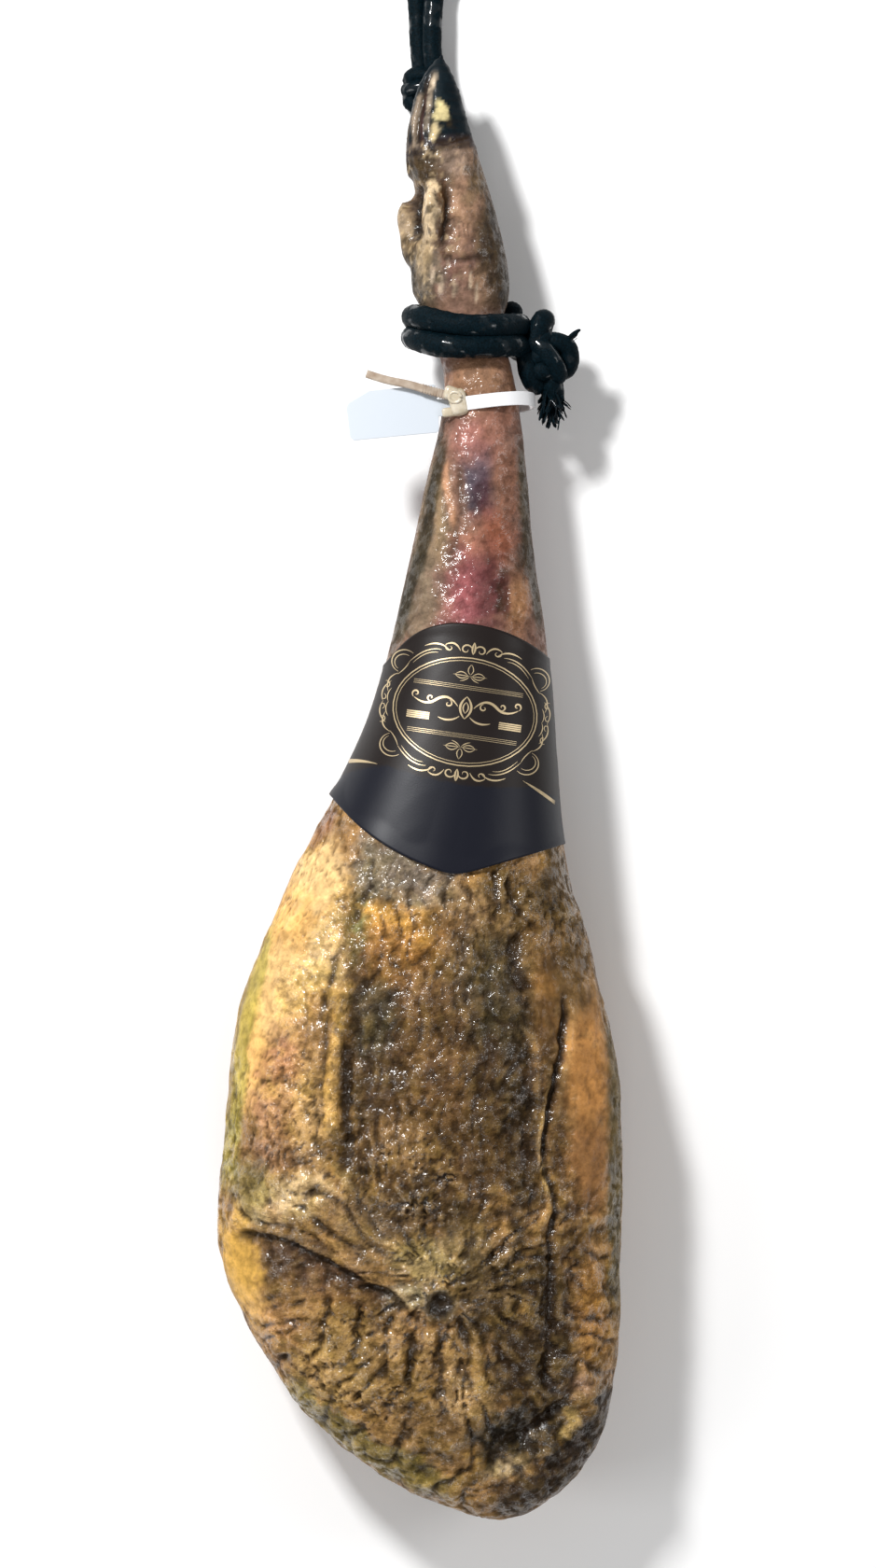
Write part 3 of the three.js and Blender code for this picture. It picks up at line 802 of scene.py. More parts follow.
# Painted shade: near black in the gap between the dewclaws.
streak([(0, 349), (-1.5, 338), (-2.5, 326), (-1, 314)], 2.4, rgb(10, 24, 30), 1.0, 0.3)
streak([(-4, 372), (-6, 362), (-4, 350)], 4, rgb(64, 50, 30), 0.9, 0.6)
horn_line = ease(371, 375, Y + 2.4 * ragged_edge - 0.10 * (X - 15))
tint(horn_line, rgb(10, 26, 33), 1.0)
tint(ease(6, 3, np.abs(Y - 371 - 0.10 * (X - 15) + 2 * ragged_edge)) * foot * up_face, rgb(46, 38, 42), 0.85)
streak([(9.5, 415), (6.5, 404), (5.5, 392), (4, 376)], 1.9, rgb(182, 164, 140), 0.95, 0.8)
streak([(2, 403), (-1, 392), (-3, 378), (-3, 366)], 2.8, rgb(150, 132, 112), 0.9, 1.0)
streak([(5, 404), (2.4, 394), (1.4, 380), (2, 368)], 1.5, rgb(70, 44, 38), 0.95, 0.5)
streak([(-4, 396), (-7, 382), (-7.5, 368)], 2.2, rgb(84, 64, 40), 0.8, 0.8)
patches(
    (12.5, 388, 5.5, 7, (206, 190, 138), 1.0, 0, 0.25, 1.0),
    (8.5, 378, 3, 6, (196, 176, 132), 0.95, 0, 0.3, 0.8),
    (17, 382, 2.2, 2.2, (60, 50, 30), 0.7, 0, 0.3, 0.8),
)
pale_flecks = ease(0.30, 0.5, grain(4.4, 3, 91.0)) * foot * up_face * (1 - horn_line)
tint(pale_flecks * ease(30, 16, X), rgb(190, 166, 130), 0.5)
dark_flecks = ease(0.22, 0.45, grain(5.2, 3, 95.0)) * foot * up_face * (1 - horn_line)
tint(dark_flecks * (0.45 + 0.55 * ease(12, 18, np.abs(X - 27))), rgb(40, 30, 20), 0.7)

patches(
    (4, -252, 42, 14, (82, 60, 34), 0.8),
    (78, -346, 10, 36, (62, 44, 24), 0.9),
    (56, -386, 21, 18, (50, 38, 24), 0.9, 10),
    (79, -186, 7, 66, (86, 60, 32), 0.75, 4),
    (56, -150, 12, 54, (64, 48, 28), 0.6),
    (-30, -300, 26, 14, (110, 80, 52), 0.5, -24),
)

# Painted shade darkens the hollows of the relief, and a painted highlight makes its crests paler.
broad = relaxed(relief[:, None], 30)[:, 0]
hollow = np.clip((broad - relief) * 0.95, -1, 1)
tint(np.clip(hollow * 1.1, 0, 1), rgb(54, 37, 20), 0.8)
tint(np.clip(-hollow, 0, 1) * (1 - horn), rgb(206, 168, 110), 0.22)
speckle = ease(0.28, 0.55, grain(2.6, 2, 31.0)) * ease(-0.2, 0.5, grain(24, 2, 33.0))
tint(speckle * (1 - horn), dark_brown, 0.22)

# Dark places are darker still where the grease has soaked in.
colour *= (0.62 + 0.48 * np.clip(colour.mean(axis=1) / 0.34, 0, 1))[:, None]
# The colour stored here holds the cure's colours together with the painted shade and highlights above.
paint_points(ham.data, "cure_colour_and_painted_light", colour)
attribute = ham.data.attributes.new("lean_share", "FLOAT", "POINT")
lean_share = (1 - 0.75 * smooth_fat - 0.45 * foot - 0.4 * horn - 0.4 * shank).clip(0, 1)
attribute.data.foreach_set("value", lean_share.astype(np.float32))


def ham_material():
    """Cured fat and lean: the colour of each place, broken up by fine grain and by painted shade in the pits
    of the bump, under a film of oil.
    """
    material = plain_material("cured_meat", (0.3, 0.18, 0.08), 0.5)
    nodes, links = material.node_tree.nodes, material.node_tree.links
    shader = nodes["Principled BSDF"]
    shader.inputs["Specular IOR Level"].default_value = 0.10
    cured = nodes.new("ShaderNodeAttribute")
    cured.attribute_name = "cure_colour_and_painted_light"
    share_node = nodes.new("ShaderNodeAttribute")
    share_node.attribute_name = "lean_share"
    lean_share = share_node.outputs["Fac"]

    def cloud(scale, detail, roughness):
        return noise_node(material, scale, detail, roughness)

    def ranged(value, low, high, to_low, to_high):
        made = nodes.new("ShaderNodeMapRange")
        links.new(value, made.inputs["Value"])
        for name, number in zip(("From Min", "From Max", "To Min", "To Max"), (low, high, to_low, to_high)):
            made.inputs[name].default_value = number
        return made.outputs["Result"]

    def combined(operation, a, b):
        made = nodes.new("ShaderNodeMath")
        made.operation = operation
        for socket, value in zip(made.inputs, (a, b)):
            if isinstance(value, float):
                socket.default_value = value
            else:
                links.new(value, socket)
        return made.outputs["Value"]

    mottle = ranged(cloud(75, 8, 0.62), 0.34, 0.66, 0.62, 1.42)
    specks = ranged(cloud(420, 3, 0.6), 0.34, 0.5, 0.72, 1.0)
    shade = nodes.new("ShaderNodeVectorMath")
    shade.operation = "SCALE"
    links.new(cured.outputs["Color"], shade.inputs[0])
    # Painted shade: the colour is darker in the low places of the rolling bump.
    knobs = cloud(170, 3, 0.5)
    pit_shade = ranged(knobs, 0.34, 0.52, 0.58, 1.05)
    even = combined("SUBTRACT", combined("MULTIPLY", combined("MULTIPLY", mottle, specks), pit_shade), 1.0)
    broken = combined("MULTIPLY", even, ranged(lean_share, 0.1, 1.0, 0.5, 1.0))
    links.new(combined("ADD", broken, 1.0), shade.inputs["Scale"])
    warm = nodes.new("ShaderNodeMix")
    warm.data_type = "RGBA"
    warm.blend_type = "MULTIPLY"
    warm.inputs["B"].default_value = (0.92, 0.93, 0.70, 1)
    links.new(combined("MULTIPLY", ranged(cloud(48, 5, 0.6), 0.4, 0.62, 0.0, 1.0),
                       ranged(lean_share, 0.6, 0.9, 0.0, 1.0)), warm.inputs["Factor"])
    links.new(shade.outputs["Vector"], warm.inputs["A"])
    links.new(warm.outputs["Result"], shader.inputs["Base Color"])

    wet = combined("MULTIPLY", ranged(knobs, 0.44, 0.54, 0.0, 1.0),
                   combined("MULTIPLY", ranged(cloud(40, 3, 0.5), 0.4, 0.6, 0.4, 1.0),
                            ranged(lean_share, 0.4, 0.9, 0.22, 1.0)))
    links.new(wet, shader.inputs["Coat Weight"])
    shader.inputs["Coat Roughness"].default_value = 0.15
    shader.inputs["Coat IOR"].default_value = 1.65

    def bumped(height, distance, strength, normal=None):
        made = nodes.new("ShaderNodeBump")
        made.inputs["Distance"].default_value = distance
        links.new(height, made.inputs["Height"])
        links.new(strength, made.inputs["Strength"])
        if normal is not None:
            links.new(normal, made.inputs["Normal"])
        return made.outputs["Normal"]

    crackle = nodes.new("ShaderNodeTexVoronoi")
    crackle.feature = "DISTANCE_TO_EDGE"
    crackle.inputs["Scale"].default_value = 330
    links.new(nodes.new("ShaderNodeTexCoord").outputs["Object"], crackle.inputs["Vector"])
    crease = combined("MINIMUM", crackle.outputs["Distance"], 0.14)
    strength = ranged(lean_share, 0.2, 1, 0.15, 1.0)
    rolling = bumped(knobs, 0.0030, strength)
    grit = combined("ADD", combined("MULTIPLY", crease, 2.4), cloud(520, 4, 0.6))
    fine = bumped(grit, 0.0004, strength, rolling)
    links.new(fine, shader.inputs["Normal"])
    glinting = bumped(cloud(300, 2, 0.5), 0.0006, strength, rolling)
    links.new(glinting, shader.inputs["Coat Normal"])
    return material


ham.data.materials.clear()
dress(ham, ham_material(), "ham")


# --- The ankle rope -------------------------------------------------------------------------------
# Two turns of the same rope, pulled round the ankle so that they crowd each other. They are only
# held by the knot at their side.
def rope_piece(name, node, parts):
    """One object of several rope lengths; each is (points in mm, diameter, seed)."""
    work = bmesh.new()
    for points, diameter, seed in parts:
        path = path_in_metres(points, 0.0010)
        rope_tube(work, path, diameter, ends=(0.25, 0.25), lump=0.08, seed=seed)
    return dress(link_mesh(name, work), black_rope, node)


turn_rise = 12.2
turn_points = []
for i in range(33):
    turn = -0.3 + 2 * math.pi * i / 16
    turn_points.append((27.5 + 31.2 * math.cos(turn) - 1.4 * math.sin(turn) ** 2,
                        261 + turn_rise * (i / 16 - 1) + 4.4 * math.cos(turn) ** 2
                        + 0.7 * math.sin(2.3 * turn),
                        44 + 29.5 * math.sin(turn)))
rope_piece("ankle_turns", "ankle_rope", [(turn_points, rope_diameter + 0.0024, 1.0)])


# --- The ankle knot -------------------------------------------------------------------------------
# The rope's end is wound about the turns and tucked through itself. It makes a short upright bend,
# a bend to the side and two crossing wraps.
knot_wraps = []
for i in range(22):
    turn = 0.4 + 2 * math.pi * i / 9
    knot_wraps.append((70.5 + 5.6 * math.cos(turn), 259 - i * 1.02 + 1.6 * math.sin(turn + 0.5),
                       42 + 7.4 * math.sin(turn)))
rope_piece("ankle_knot_wound", "ankle_knot", [
    (knot_wraps, 0.0122, 2.0),
    ([(66, 250, 48), (67.5, 259, 50), (70, 267, 50), (72.5, 270.4, 46), (71.5, 267, 40), (68, 257, 38)],
     0.0128, 3.0),
    ([(72, 257, 47), (80, 257.5, 48), (86, 254.5, 46), (87.4, 248, 43), (85, 242.5, 40), (77, 240, 38)],
     0.0116, 4.0),
    ([(60.5, 254, 46), (61.8, 247, 49.5), (63.4, 239, 49), (67, 233.2, 45), (73, 231, 41)], 0.0114, 5.0),
    ([(63, 261, 44), (68, 257, 49.5), (75, 249, 52.0), (80, 241, 49.5), (81, 234, 44)], 0.0116, 6.0),
    ([(64, 250, 42), (69, 246, 44), (75, 243, 46), (79, 250, 45)], 0.0130, 6.5),
])


# --- The rope's frayed tail -----------------------------------------------------------------------
# The cut end of the rope has opened into its yarns, stuck together by grease, with a few loose ends.
def fray(work, root, aim, count, reach, spread, thick, seed):
    """Loose yarns that leave a place in mm, each a thin bent strand."""
    chance = random.Random(seed)
    for _ in range(count):
        start = Vector(root) + Vector([chance.uniform(-1, 1) * spread * 0.55 for _ in range(3)])
        end = Vector(aim).normalized() * reach * chance.uniform(0.55, 1.0)
        end += Vector([chance.uniform(-1, 1) * spread for _ in range(3)])
        sag = Vector([chance.uniform(-1, 1) * reach * 0.12 for _ in range(3)])
        points = [start, start + end * 0.35 + sag, start + end * 0.7 + sag * 0.6, start + end]
        path = path_in_metres(points, 0.0012)
        yarn = thick * chance.uniform(0.6, 1.2) / 1000
        rope_tube(work, path, yarn, rib=0, around=5, ends=(1, 0.3), seed=seed)


tail = bmesh.new()
tail_core = path_in_metres([(75.5, 243, 44), (76.8, 234, 43), (77.8, 227, 41), (78.0, 221.5, 39.5)], 0.001)
rope_tube(tail, tail_core, 0.0162, rib=0.05, ends=(0.4, 0.5), lump=0.2, seed=7.0)
fray(tail, (77.4, 227, 41), (-0.02, -1, -0.15), 90, 13, 5.6, 2.2, 11)
fray(tail, (77.6, 229, 44), (0.02, -1, 0.1), 60, 15, 6.4, 1.3, 12)
fray(tail, (73, 222, 41), (-0.5, -1, 0.1), 6, 7, 1.5, 0.9, 13)
fray(tail, (83, 224, 42), (0.9, -0.7, 0.1), 6, 7, 1.5, 0.8, 14)
fray(tail, (77, 258.5, 49), (0.25, 1, 0.2), 9, 5, 2.2, 0.8, 15)
fray(tail, (88, 258, 46), (0.6, 1, 0.1), 5, 5, 2.0, 0.7, 16)
fray(tail, (73, 262, 47), (0.6, 0.6, 0.1), 5, 4.5, 1.4, 0.8, 17)
for shift in range(4):
    stub = [(81 + shift * 0.3, 254.5 - shift * 0.7, 49 - shift * 0.5),
            (86.5, 259.6 - shift * 0.7, 50 - shift * 0.5),
            (90 + shift * 0.3, 262.6 - shift * 0.5, 50 - shift * 0.6),
            (93.6 - shift * 0.6, 264.4 - shift * 0.2, 49.6)]
    rope_tube(tail, path_in_metres(stub, 0.001), 0.0017, rib=0, around=8, ends=(1, 0.5), lump=0.3,
              seed=20.0 + shift)
dress(link_mesh("frayed_tail", tail), black_rope, "rope_tail")


# --- The knot behind the hoof ---------------------------------------------------------------------
# Where the two strands leave the foot, three wraps of the rope bind them together beside the claws.
hoof_knot_wound = rope_piece("hoof_knot_wound", "hoof_knot", [
    ([(12, 405, 12), (4, 402.8, 11), (-3, 402.2, 8), (-5.2, 404.6, 6.9), (-2, 406.5, 6.6), (4, 405, 6.8)],
     0.0106, 8.0),
    ([(12, 411, 12.2), (4, 411.5, 12), (-3.4, 410.8, 10), (-6.2, 409.4, 8), (-4, 409.2, 6.6), (3, 409.6, 6.6)],
     0.0110, 9.0),
    ([(13, 416, 12), (5, 418.4, 11.4), (-2, 418.6, 10), (-5.0, 416, 8), (-2, 414, 6.7), (4, 414, 6.7)],
     0.0106, 10.0),
])


# --- The label ------------------------------------------------------------------------------------
# Black satin paper wrapped round the leg above the cushion of the ham and glued at the back. Its
# ornament is gold foil, a flourished oval with rules, sprigs and a vine across its middle.
def bend_line(*pieces):
    """Points of curved pieces, each given by its start, its pull and its end."""
    points = []
    for start, pull, end in pieces:
        for i in range(25):
            t = i / 24
            points.append(tuple((1 - t) ** 2 * a + 2 * t * (1 - t) * b + t * t * c
                                for a, b, c in zip(start, pull, end)))
    return np.array(points)


top_edge = bend_line(((-75, 20), (-24, 62), (-10, 80)), ((-10, 80), (0, 91.6), (20, 92.8)),
                     ((20, 92.8), (50, 92), (73, 74)), ((73, 74), (90, 60), (110, 20)))
low_edge = bend_line(((-75, 12), (-60, 10), (-49, -6)), ((-49, -6), (-30, -36), (20.5, -52)),
                     ((20.5, -52), (60, -41), (110, -26)))
columns, rows = 150, 100
wrap_start, wrap_turn = -24, 228  # degrees round the leg
paper_thickness = 0.0003


def skin_hit(angle, y):
    """The skin seen from outside at that angle round the leg, in mm, and its outward normal."""
    axis = Vector((15.8 + 0.19 * y, y, 55 - 0.04 * y))
    out = Vector((math.cos(angle), 0, math.sin(angle)))
    spot, normal, _, _ = bare_skin.ray_cast((axis + out * 150) / 1000, -out)
    return spot * 1000, normal


paper = np.zeros((columns + 1, rows + 1, 3))
outwards = np.zeros_like(paper)
for i in range(columns + 1):
    angle = math.radians(wrap_start + wrap_turn * i / columns)
    levels = np.arange(-60, 104, 2.0)
    across = np.array([skin_hit(angle, y)[0].x for y in levels])
    inside = ((levels >= np.interp(across, low_edge[:, 0], low_edge[:, 1]))
              & (levels <= np.interp(across, top_edge[:, 0], top_edge[:, 1])))
    lowest, highest = np.flatnonzero(inside)[[0, -1]]
    below = np.interp(across, low_edge[:, 0], low_edge[:, 1])[lowest]
    above = np.interp(across, top_edge[:, 0], top_edge[:, 1])[highest]
    for j in range(rows + 1):
        spot, normal = skin_hit(angle, below + (above - below) * j / rows)
        paper[i, j] = spot
        outwards[i, j] = normal
for _ in range(30):
    for grid in (paper, outwards):
        blurred = grid.copy()
        blurred[1:-1] += 0.25 * (grid[:-2] + grid[2:] - 2 * grid[1:-1])
        blurred[:, 1:-1] += 0.25 * (grid[:, :-2] + grid[:, 2:] - 2 * grid[:, 1:-1])
        grid[:] = blurred
outwards /= np.linalg.norm(outwards, axis=2)[:, :, None]
# The paper stands off the skin a little, more at its edges and at one loose corner.
part_round = np.linspace(wrap_start, wrap_start + wrap_turn, columns + 1)[:, None]
part_up = np.linspace(0, 1, rows + 1)[None, :]
lift = 0.55 + 1.2 * ease(0.22, 0, part_up) * ease(148, 176, part_round) * ease(200, 186, part_round)
lift = lift + 0.7 * ease(0.10, 0, part_up) + 0.5 * ease(0.93, 1, part_up)
lift = lift + 0.22 * np.sin(part_round * 0.16 + 3 * part_up) * ease(0.5, 0, part_up)
paper += outwards * lift[:, :, None]
for i in range(columns + 1):
    for j in range(rows + 1):
        spot = Vector(paper[i, j]) / 1000
        near, normal, _, _ = bare_skin.find_nearest(spot)
        short = 0.00045 - (spot - near).dot(normal)
        if short > 0:
            paper[i, j] = (spot + normal * short) * 1000

label_work = bmesh.new()
bmesh.ops.create_grid(label_work, x_segments=columns, y_segments=rows, size=1)
uv = label_work.loops.layers.uv.verify()
for face in label_work.faces:
    for loop in face.loops:
        loop[uv].uv = ((loop.vert.co.x + 1) / 2, (loop.vert.co.y + 1) / 2)
for vert in label_work.verts:
    i = round((vert.co.x + 1) / 2 * columns)
    j = round((vert.co.y + 1) / 2 * rows)
    vert.co = paper[i, j] / 1000
bmesh.ops.recalc_face_normals(label_work, faces=label_work.faces)
label_work.faces.ensure_lookup_table()
if label_work.faces[len(label_work.faces) // 2].normal.z < 0:
    bmesh.ops.reverse_faces(label_work, faces=label_work.faces)
bmesh.ops.solidify(label_work, geom=label_work.faces[:], thickness=paper_thickness)
bmesh.ops.recalc_face_normals(label_work, faces=label_work.faces)
paper_top = BVHTree.FromBMesh(label_work)
label = link_mesh("black_label", label_work)

# The paper is brown-black above this line and blue-black below it.
swoosh_line = bend_line(((-50, 3), (-35, 11), (-18, 11)), ((-18, 11), (25, -4), (64, -1)),
                        ((64, -1), (74, -5), (84, -9)))
spots = vectors_of(label.data) * 1000
shade_line = np.interp(spots[:, 0], swoosh_line[:, 0], swoosh_line[:, 1])
panel = ease(shade_line + 0.4, shade_line - 0.4, spots[:, 1])[:, None]
ink = rgb(24, 17, 15) * (1 - panel) + rgb(14, 16, 27) * panel
paint_points(label.data, "ink", ink)


def paper_material():
    """Black printed paper, satin, very slightly uneven."""
    material = plain_material("black_satin_paper", (0.01, 0.01, 0.012), 0.42)
    nodes, links = material.node_tree.nodes, material.node_tree.links
    shader = nodes["Principled BSDF"]
    shader.inputs["Specular IOR Level"].default_value = 0.22
    printed = nodes.new("ShaderNodeAttribute")
    printed.attribute_name = "ink"
    links.new(printed.outputs["Color"], shader.inputs["Base Color"])
    add_bump(material, noise_node(material, 1200, 3), 0.2, 0.0002)
    return material


dress(label, paper_material(), "label")

foil_work = bmesh.new()
oval_centre = (26.3, 41.7)
oval_turn = math.radians(-8)


def on_label(u, v):
    """From the ornament's own flat place, in mm from the oval's middle, to the paper."""
    x = oval_centre[0] + u * math.cos(oval_turn) - v * math.sin(oval_turn)
    y = oval_centre[1] + u * math.sin(oval_turn) + v * math.cos(oval_turn)
    spot, normal, _, _ = paper_top.ray_cast(Vector((x, y, 160)) / 1000, Vector((0, 0, -1)))
    if spot is None:
        return None
    return spot + normal * 0.00012


def foil(points, width, thin_ends=True):
    """A line of foil. It swells in its middle if its ends are thin."""
    path = np.array(points, dtype=float)
    steps = np.linalg.norm(np.diff(path, axis=0), axis=1)
    travel = np.concatenate([[0], np.cumsum(steps)])
    count = max(4, int(travel[-1] / 0.6))
    even = np.linspace(0, travel[-1], count + 1)
    path = np.stack([np.interp(even, travel, path[:, k]) for k in range(2)], axis=1)
    ahead = np.gradient(path, axis=0)
    ahead /= np.linalg.norm(ahead, axis=1)[:, None]
    across = np.stack([-ahead[:, 1], ahead[:, 0]], axis=1)
    part = np.linspace(0, 1, count + 1)
    half = width / 2 * (0.25 + 0.75 * np.sin(math.pi * part) if thin_ends else np.ones(count + 1))
    rails = []
    for spot, side, reach in zip(path, across, half):
        ends = [on_label(*(spot + side * reach)), on_label(*(spot - side * reach))]
        if None in ends:
            rails.append(None)
            continue
        rails.append([foil_work.verts.new(end) for end in ends])
    for a, b in zip(rails[:-1], rails[1:]):
        if a and b:
            foil_work.faces.new((a[0], a[1], b[1], b[0]))


def arc(cx, cy, rx, ry, start, end, shrink=1.0):
    """Points of an oval arc, in degrees; shrink below 1 winds it inwards to a spiral."""
    points = []
    for i in range(41):
        t = i / 40
        angle = math.radians(start + (end - start) * t)
        size = 1 + (shrink - 1) * t
        points.append((cx + rx * size * math.cos(angle), cy + ry * size * math.sin(angle)))
    return points


def mirrored(points, sideways, upwards):
    return [(u * sideways, v * upwards) for u, v in points]


foil(arc(0, 0, 41.4, 30.9, 0, 360), 0.65, False)
foil(arc(0, 0, 39.7, 29.2, 0, 360), 0.35, False)
for side in (1, -1):
    for up in (1, -1):
        for points, width in (
            (arc(4.2, 35.4, 3.6, 3.3, 200, -190, 0.25), 1.1),
            (bend_line(((0, 33), (1.6, 36), (0, 40))), 1.3),
            (bend_line(((7.4, 34.2), (11, 40.5), (16.5, 36.6))), 1.2),
            (arc(13.8, 35.4, 2.6, 2.2, 30, -250, 0.3), 0.8),
            (bend_line(((14, 34), (20, 39), (28, 34.5))), 1.1),
            (bend_line(((18, 33.5), (27, 34.5), (35.4, 24.5))), 0.8),
            (bend_line(((20, 31.6), (27, 32), (33.4, 24))), 0.6),
            (arc(38.6, 24.2, 7.2, 6.6, 130, -70), 0.9),
            (arc(38.8, 23.6, 5.2, 4.6, 120, -60), 0.7),
            (bend_line(((35.4, 24.5), (37, 20), (41.2, 16.4))), 0.7),
            (bend_line(((41, 17), (48.5, 14), (45.4, 6))), 0.9),
            (arc(46.6, 9.6, 2.3, 2.6, 60, 330, 0.3), 0.7),
            (bend_line(((44.4, 12), (51, 7), (47.6, 0))), 0.9),
            (bend_line(((43.6, 8), (46.6, 4), (44.4, 0))), 0.7),
            (arc(47.6, 2.4, 1.8, 2.0, 90, 360, 0.3), 0.6),
        ):
            foil(mirrored(points, side, up), 0.82 * width)
    for rule in (14.9, 13.9, 12.9):
        foil([(0, side * rule), (31.5, side * rule)], 0.2, False)
        foil([(0, side * rule), (-31.5, side * rule)], 0.2, False)
    for bar in (-2.1, -3.2, -4.3, -5.4):
        foil([(side * 20, bar - 1.4), (side * 33, bar - 1.4)], 0.75, False)
    for up in (1, -1):
        foil(mirrored(bend_line(((1.2, 20.4), (5, 24.4), (8.6, 20.6))), side, up), 0.55)
        foil(mirrored(bend_line(((1.2, 20.4), (5, 17.2), (8.6, 20.6))), side, up), 0.55)
        foil(mirrored([(0, 20.4), (9.8, 20.6)], side, up), 0.45)
        foil(mirrored(bend_line(((0, 21.2), (3.0, 23.6), (0, 27.2))), side, up), 0.55)
        foil(mirrored(bend_line(((0.4, 20), (2.6, 17.6), (5.4, 17.2))), side, up), 0.5)
    foil(bend_line(((0, 8.6), (side * 6.4, 2.2), (0, -4.2))), 1.3)
    foil(bend_line(((0, 5.4), (side * 3.0, 2.2), (0, -1.0))), 0.8)
    vine = bend_line(((4.6, 2.4), (11, 10.4), (18, 4.2)), ((18, 4.2), (23, 0.2), (30, 4.6)))
    foil(mirrored(vine, side, 1), 1.5)
    foil(arc(side * 29.2, 6.8, 2.4 * side, 2.4, -60, 300, 0.2), 1.0)
    foil(arc(side * 10.2, 3.4, 2.4 * side, 2.2, 100, 440, 0.2), 0.9)
    foil(arc(side * 20.6, 5.4, 2.2 * side, 2.0, -100, 240, 0.2), 0.9)
    foil(mirrored(bend_line(((3.0, -3.0), (8, -7.6), (15, -5.0))), side, 1), 1.1)
left_swoosh = bend_line(((-78.4, -42.4), (-64, -33.5), (-45.5, -36.4)))
right_swoosh = bend_line(((38, -34.4), (49, -38.6), (58.4, -43.4)))
share = np.arange(len(left_swoosh)) / len(left_swoosh)
for step in range(4):
    foil(left_swoosh - np.outer(0.9 * step * (1 - share), (0, 1)), 1.0)
    foil(right_swoosh - np.outer(0.6 * step * share, (0, 1)), 0.8)
bmesh.ops.recalc_face_normals(foil_work, faces=foil_work.faces)
up_faces = [f for f in foil_work.faces if f.normal.z < 0]
bmesh.ops.reverse_faces(foil_work, faces=up_faces)
dress(link_mesh("gold_foil", foil_work), plain_material("gold_foil", rgb(190, 170, 134), 0.36, 0.5),
      "label")


# --- The seal's strap -----------------------------------------------------------------------------
# A moulded nylon strap drawn round the shank. Its free tail, stained brown by the smoke and grease,
# sticks out past the head.
def flat_band(work, path, across, out, width, thickness, bevel=0.3):
    """A strap with rounded edges along a path; across and out give its directions at each point."""
    corners = []
    for sx, sz in ((-1, -1), (1, -1), (1, 1), (-1, 1)):
        for part in (0, 1):
            cut_x = bevel if (part == 0) == (sx * sz < 0) else 0
            cut_z = bevel if cut_x == 0 else 0
            corners.append((sx * (width / 2 - cut_x), sz * (thickness / 2 - cut_z)))
    count = len(path)
    fresh = bmesh.ops.create_grid(work, x_segments=len(corners), y_segments=count - 1, size=1)["verts"]
    for vert in fresh:
        i = round((vert.co.x + 1) / 2 * len(corners)) % len(corners)
        j = round((vert.co.y + 1) / 2 * (count - 1))
        a, b = corners[i]
        vert.co = (Vector(path[j]) + Vector(across[j]) * a + Vector(out[j]) * b) / 1000
    close_holes(work, list(fresh), 1e-6)
    bmesh.ops.recalc_face_normals(work, faces=work.faces)


def nylon(name, colour, roughness, stain=None, stain_amount=0.6, clear=0.0):
    """Moulded nylon with a slight bloom, and grease stains where it has them."""
    material = plain_material(name, colour, roughness)
    shader = material.node_tree.nodes["Principled BSDF"]
    shader.inputs["Subsurface Weight"].default_value = clear
    shader.inputs["Subsurface Radius"].default_value = (0.004, 0.003, 0.002)
    cloud = noise_node(material, 160, 4)
    if stain is not None:
        add_ramp(material, cloud, 0.5 - 0.3 * stain_amount, stain, 0.95 - 0.3 * stain_amount, colour)
    add_bump(material, cloud, 0.25, 0.0002)
    return material


strap_width, strap_thickness = 8.0, 1.3
strap_half_width, strap_half_height = 28, 24.4
strap_centre = Vector((38.7, 221.2, 47.4))
tilt = 0.07
loop_spots, loop_across, loop_out = [], [], []
for i in range(97):
    turn = 2 * math.pi * i / 96
    out = Vector((math.cos(turn) / strap_half_width, 0, math.sin(turn) / strap_half_height)).normalized()
    reach = strap_half_width * math.cos(turn)
    spot = Vector((reach * math.cos(tilt), reach * math.sin(tilt) + 0.7 * math.sin(turn * 2),
                   strap_half_height * math.sin(turn)))
    loop_spots.append(spot + strap_centre)
    loop_across.append(Vector((-math.sin(tilt), math.cos(tilt), 0)))
    loop_out.append(out)
strap_work = bmesh.new()
flat_band(strap_work, loop_spots, loop_across, loop_out, strap_width, strap_thickness)
dress(link_mesh("seal_strap_loop", strap_work, smooth=False), nylon("white_nylon", rgb(228, 228, 230), 0.42),
      "seal_strap")

tail_path = smooth_path([(23, 223.3, 67.4), (16, 224.6, 68.6), (6, 227.2, 69.4), (-6, 230.6, 70.1),
                         (-17, 232.8, 70.6), (-25, 235.0, 70.8), (-30.4, 236.8, 70.8)], 0.8)
ahead = np.gradient(tail_path, axis=0)
ahead /= np.linalg.norm(ahead, axis=1)[:, None]
tail_out = np.tile((0.1, 0.12, 0.99), (len(tail_path), 1))
tail_across = np.cross(tail_out, ahead)
tail_out = np.cross(ahead, tail_across)
strap_tail_work = bmesh.new()
flat_band(strap_tail_work, tail_path, tail_across, tail_out, 4.6, 1.9, 0.5)
for i in range(12):
    j = 5 + 2 * i
    flat_band(strap_tail_work, tail_path[j:j + 2], tail_across[j:j + 2], tail_out[j:j + 2], 5.3, 2.5, 0.3)
dress(link_mesh("seal_strap_tail", strap_tail_work, smooth=False),
      nylon("stained_nylon", rgb(186, 172, 156), 0.4, rgb(138, 116, 96), 0.8), "seal_strap")


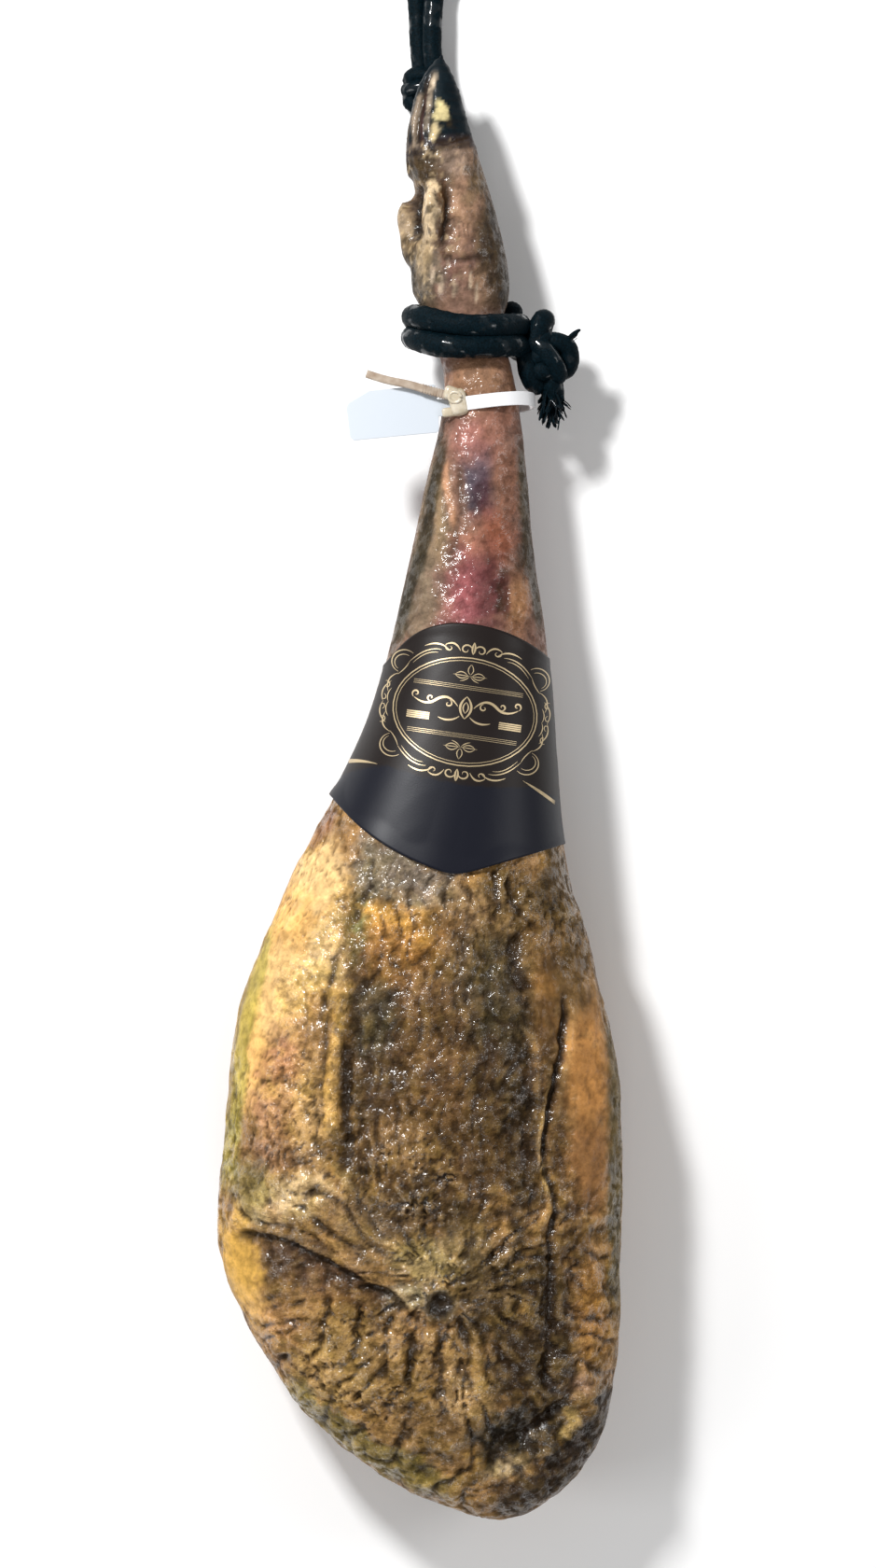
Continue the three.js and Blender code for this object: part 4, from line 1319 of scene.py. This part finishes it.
# --- The seal's head ------------------------------------------------------------------------------
# A small moulded block, milky and half clear, that the tail passes through and can't be drawn back
# out of.
def rounded_block(work, centre, size, turn, tilt, bevel, segments=4):
    """A block with rounded edges, sizes in mm."""
    made = bmesh.ops.create_cube(work, size=1)["verts"]
    bmesh.ops.scale(work, vec=Vector(size), verts=made)
    edges_made = list({e for v in made for e in v.link_edges})
    rounded = bmesh.ops.bevel(work, geom=edges_made, offset=bevel, offset_type="OFFSET", segments=segments,
                              profile=0.5, affect="EDGES", material=-1)
    made = list({v for f in rounded["faces"] for v in f.verts} | {v for v in made if v.is_valid})
    for axis, angle in (("Y", tilt), ("Z", turn)):
        matrix = Matrix.Rotation(angle, 3, axis)
        bmesh.ops.rotate(work, verts=made, cent=(0, 0, 0), matrix=matrix)
    bmesh.ops.translate(work, verts=made, vec=Vector(centre))
    for v in made:
        v.co = v.co / 1000


head_work = bmesh.new()
rounded_block(head_work, (22.6, 220.6, 67.8), (10.6, 15.6, 7.6), 0.22, 0.05, 3.4)
rounded_block(head_work, (18.4, 225.6, 68.8), (8.6, 8.2, 5.6), -0.3, 0.05, 2.4)
rounded_block(head_work, (17.6, 215.0, 67.0), (9.0, 5.4, 3.6), 0.1, 0.05, 1.6)
# The raised ring round the hole that the tail enters by.
entry = [(20.6 + 3.4 * math.cos(a / 3), 223.2 + 3.0 * math.sin(a / 3), 71.4 + 0.5 * math.cos(a / 3))
         for a in range(19)]
rope_tube(head_work, path_in_metres(entry, 0.0004), 0.0019, rib=0, around=10, lump=0)
dress(link_mesh("seal_head_block", head_work),
      nylon("milky_nylon", rgb(214, 206, 190), 0.24, rgb(178, 164, 138), 0.4, 0.25), "seal_head")


# --- The seal's plate -----------------------------------------------------------------------------
# A flat white nylon plate moulded to the head by a short neck. It is blank.
plate_outline = [(-54.6, -8.6), (-52.6, -10.8), (-4.4, -10.8), (-3.0, -9.4), (-2.4, -1.6), (4, -1.6),
                 (9, 0.4), (9, 6.5), (3, 8), (-2.4, 8.4), (-2.6, 16.2), (-3.6, 17.0), (-41, 17.0),
                 (-53.6, 11.2), (-55, 8.8)]
plate_work = bmesh.new()
rim = [plate_work.verts.new((x, y, 0)) for x, y in plate_outline]
sheet_face = plate_work.faces.new(rim)
grown = bmesh.ops.extrude_face_region(plate_work, geom=[sheet_face])
top_verts = [g for g in grown["geom"] if isinstance(g, bmesh.types.BMVert)]
bmesh.ops.translate(plate_work, verts=top_verts, vec=(0, 0, 1.4))
bmesh.ops.recalc_face_normals(plate_work, faces=plate_work.faces)
edges_made = [e for e in plate_work.edges if abs(e.verts[0].co.z - e.verts[1].co.z) < 0.1]
bmesh.ops.bevel(plate_work, geom=edges_made, offset=0.3, offset_type="OFFSET", segments=2, profile=0.5,
                affect="EDGES", material=-1)
bmesh.ops.triangulate(plate_work, faces=[f for f in plate_work.faces if len(f.verts) > 4])
bmesh.ops.subdivide_edges(plate_work, edges=[e for e in plate_work.edges if e.calc_length() > 8], cuts=6,
                          use_grid_fill=True)
for v in plate_work.verts:
    x, y, z = v.co
    z += -0.9 * ((x + 28) / 28) ** 2 + 0.5
    c, s = math.cos(0.1), math.sin(0.1)
    v.co = Vector((c * x - s * y + 13.5, s * x + c * y + 214.5, z + 64.2 - 0.05 * x)) / 1000
bmesh.ops.recalc_face_normals(plate_work, faces=plate_work.faces)
dress(link_mesh("seal_blank_plate", plate_work, smooth=False), nylon("plate_nylon", rgb(198, 205, 213), 0.4),
      "seal_plate")
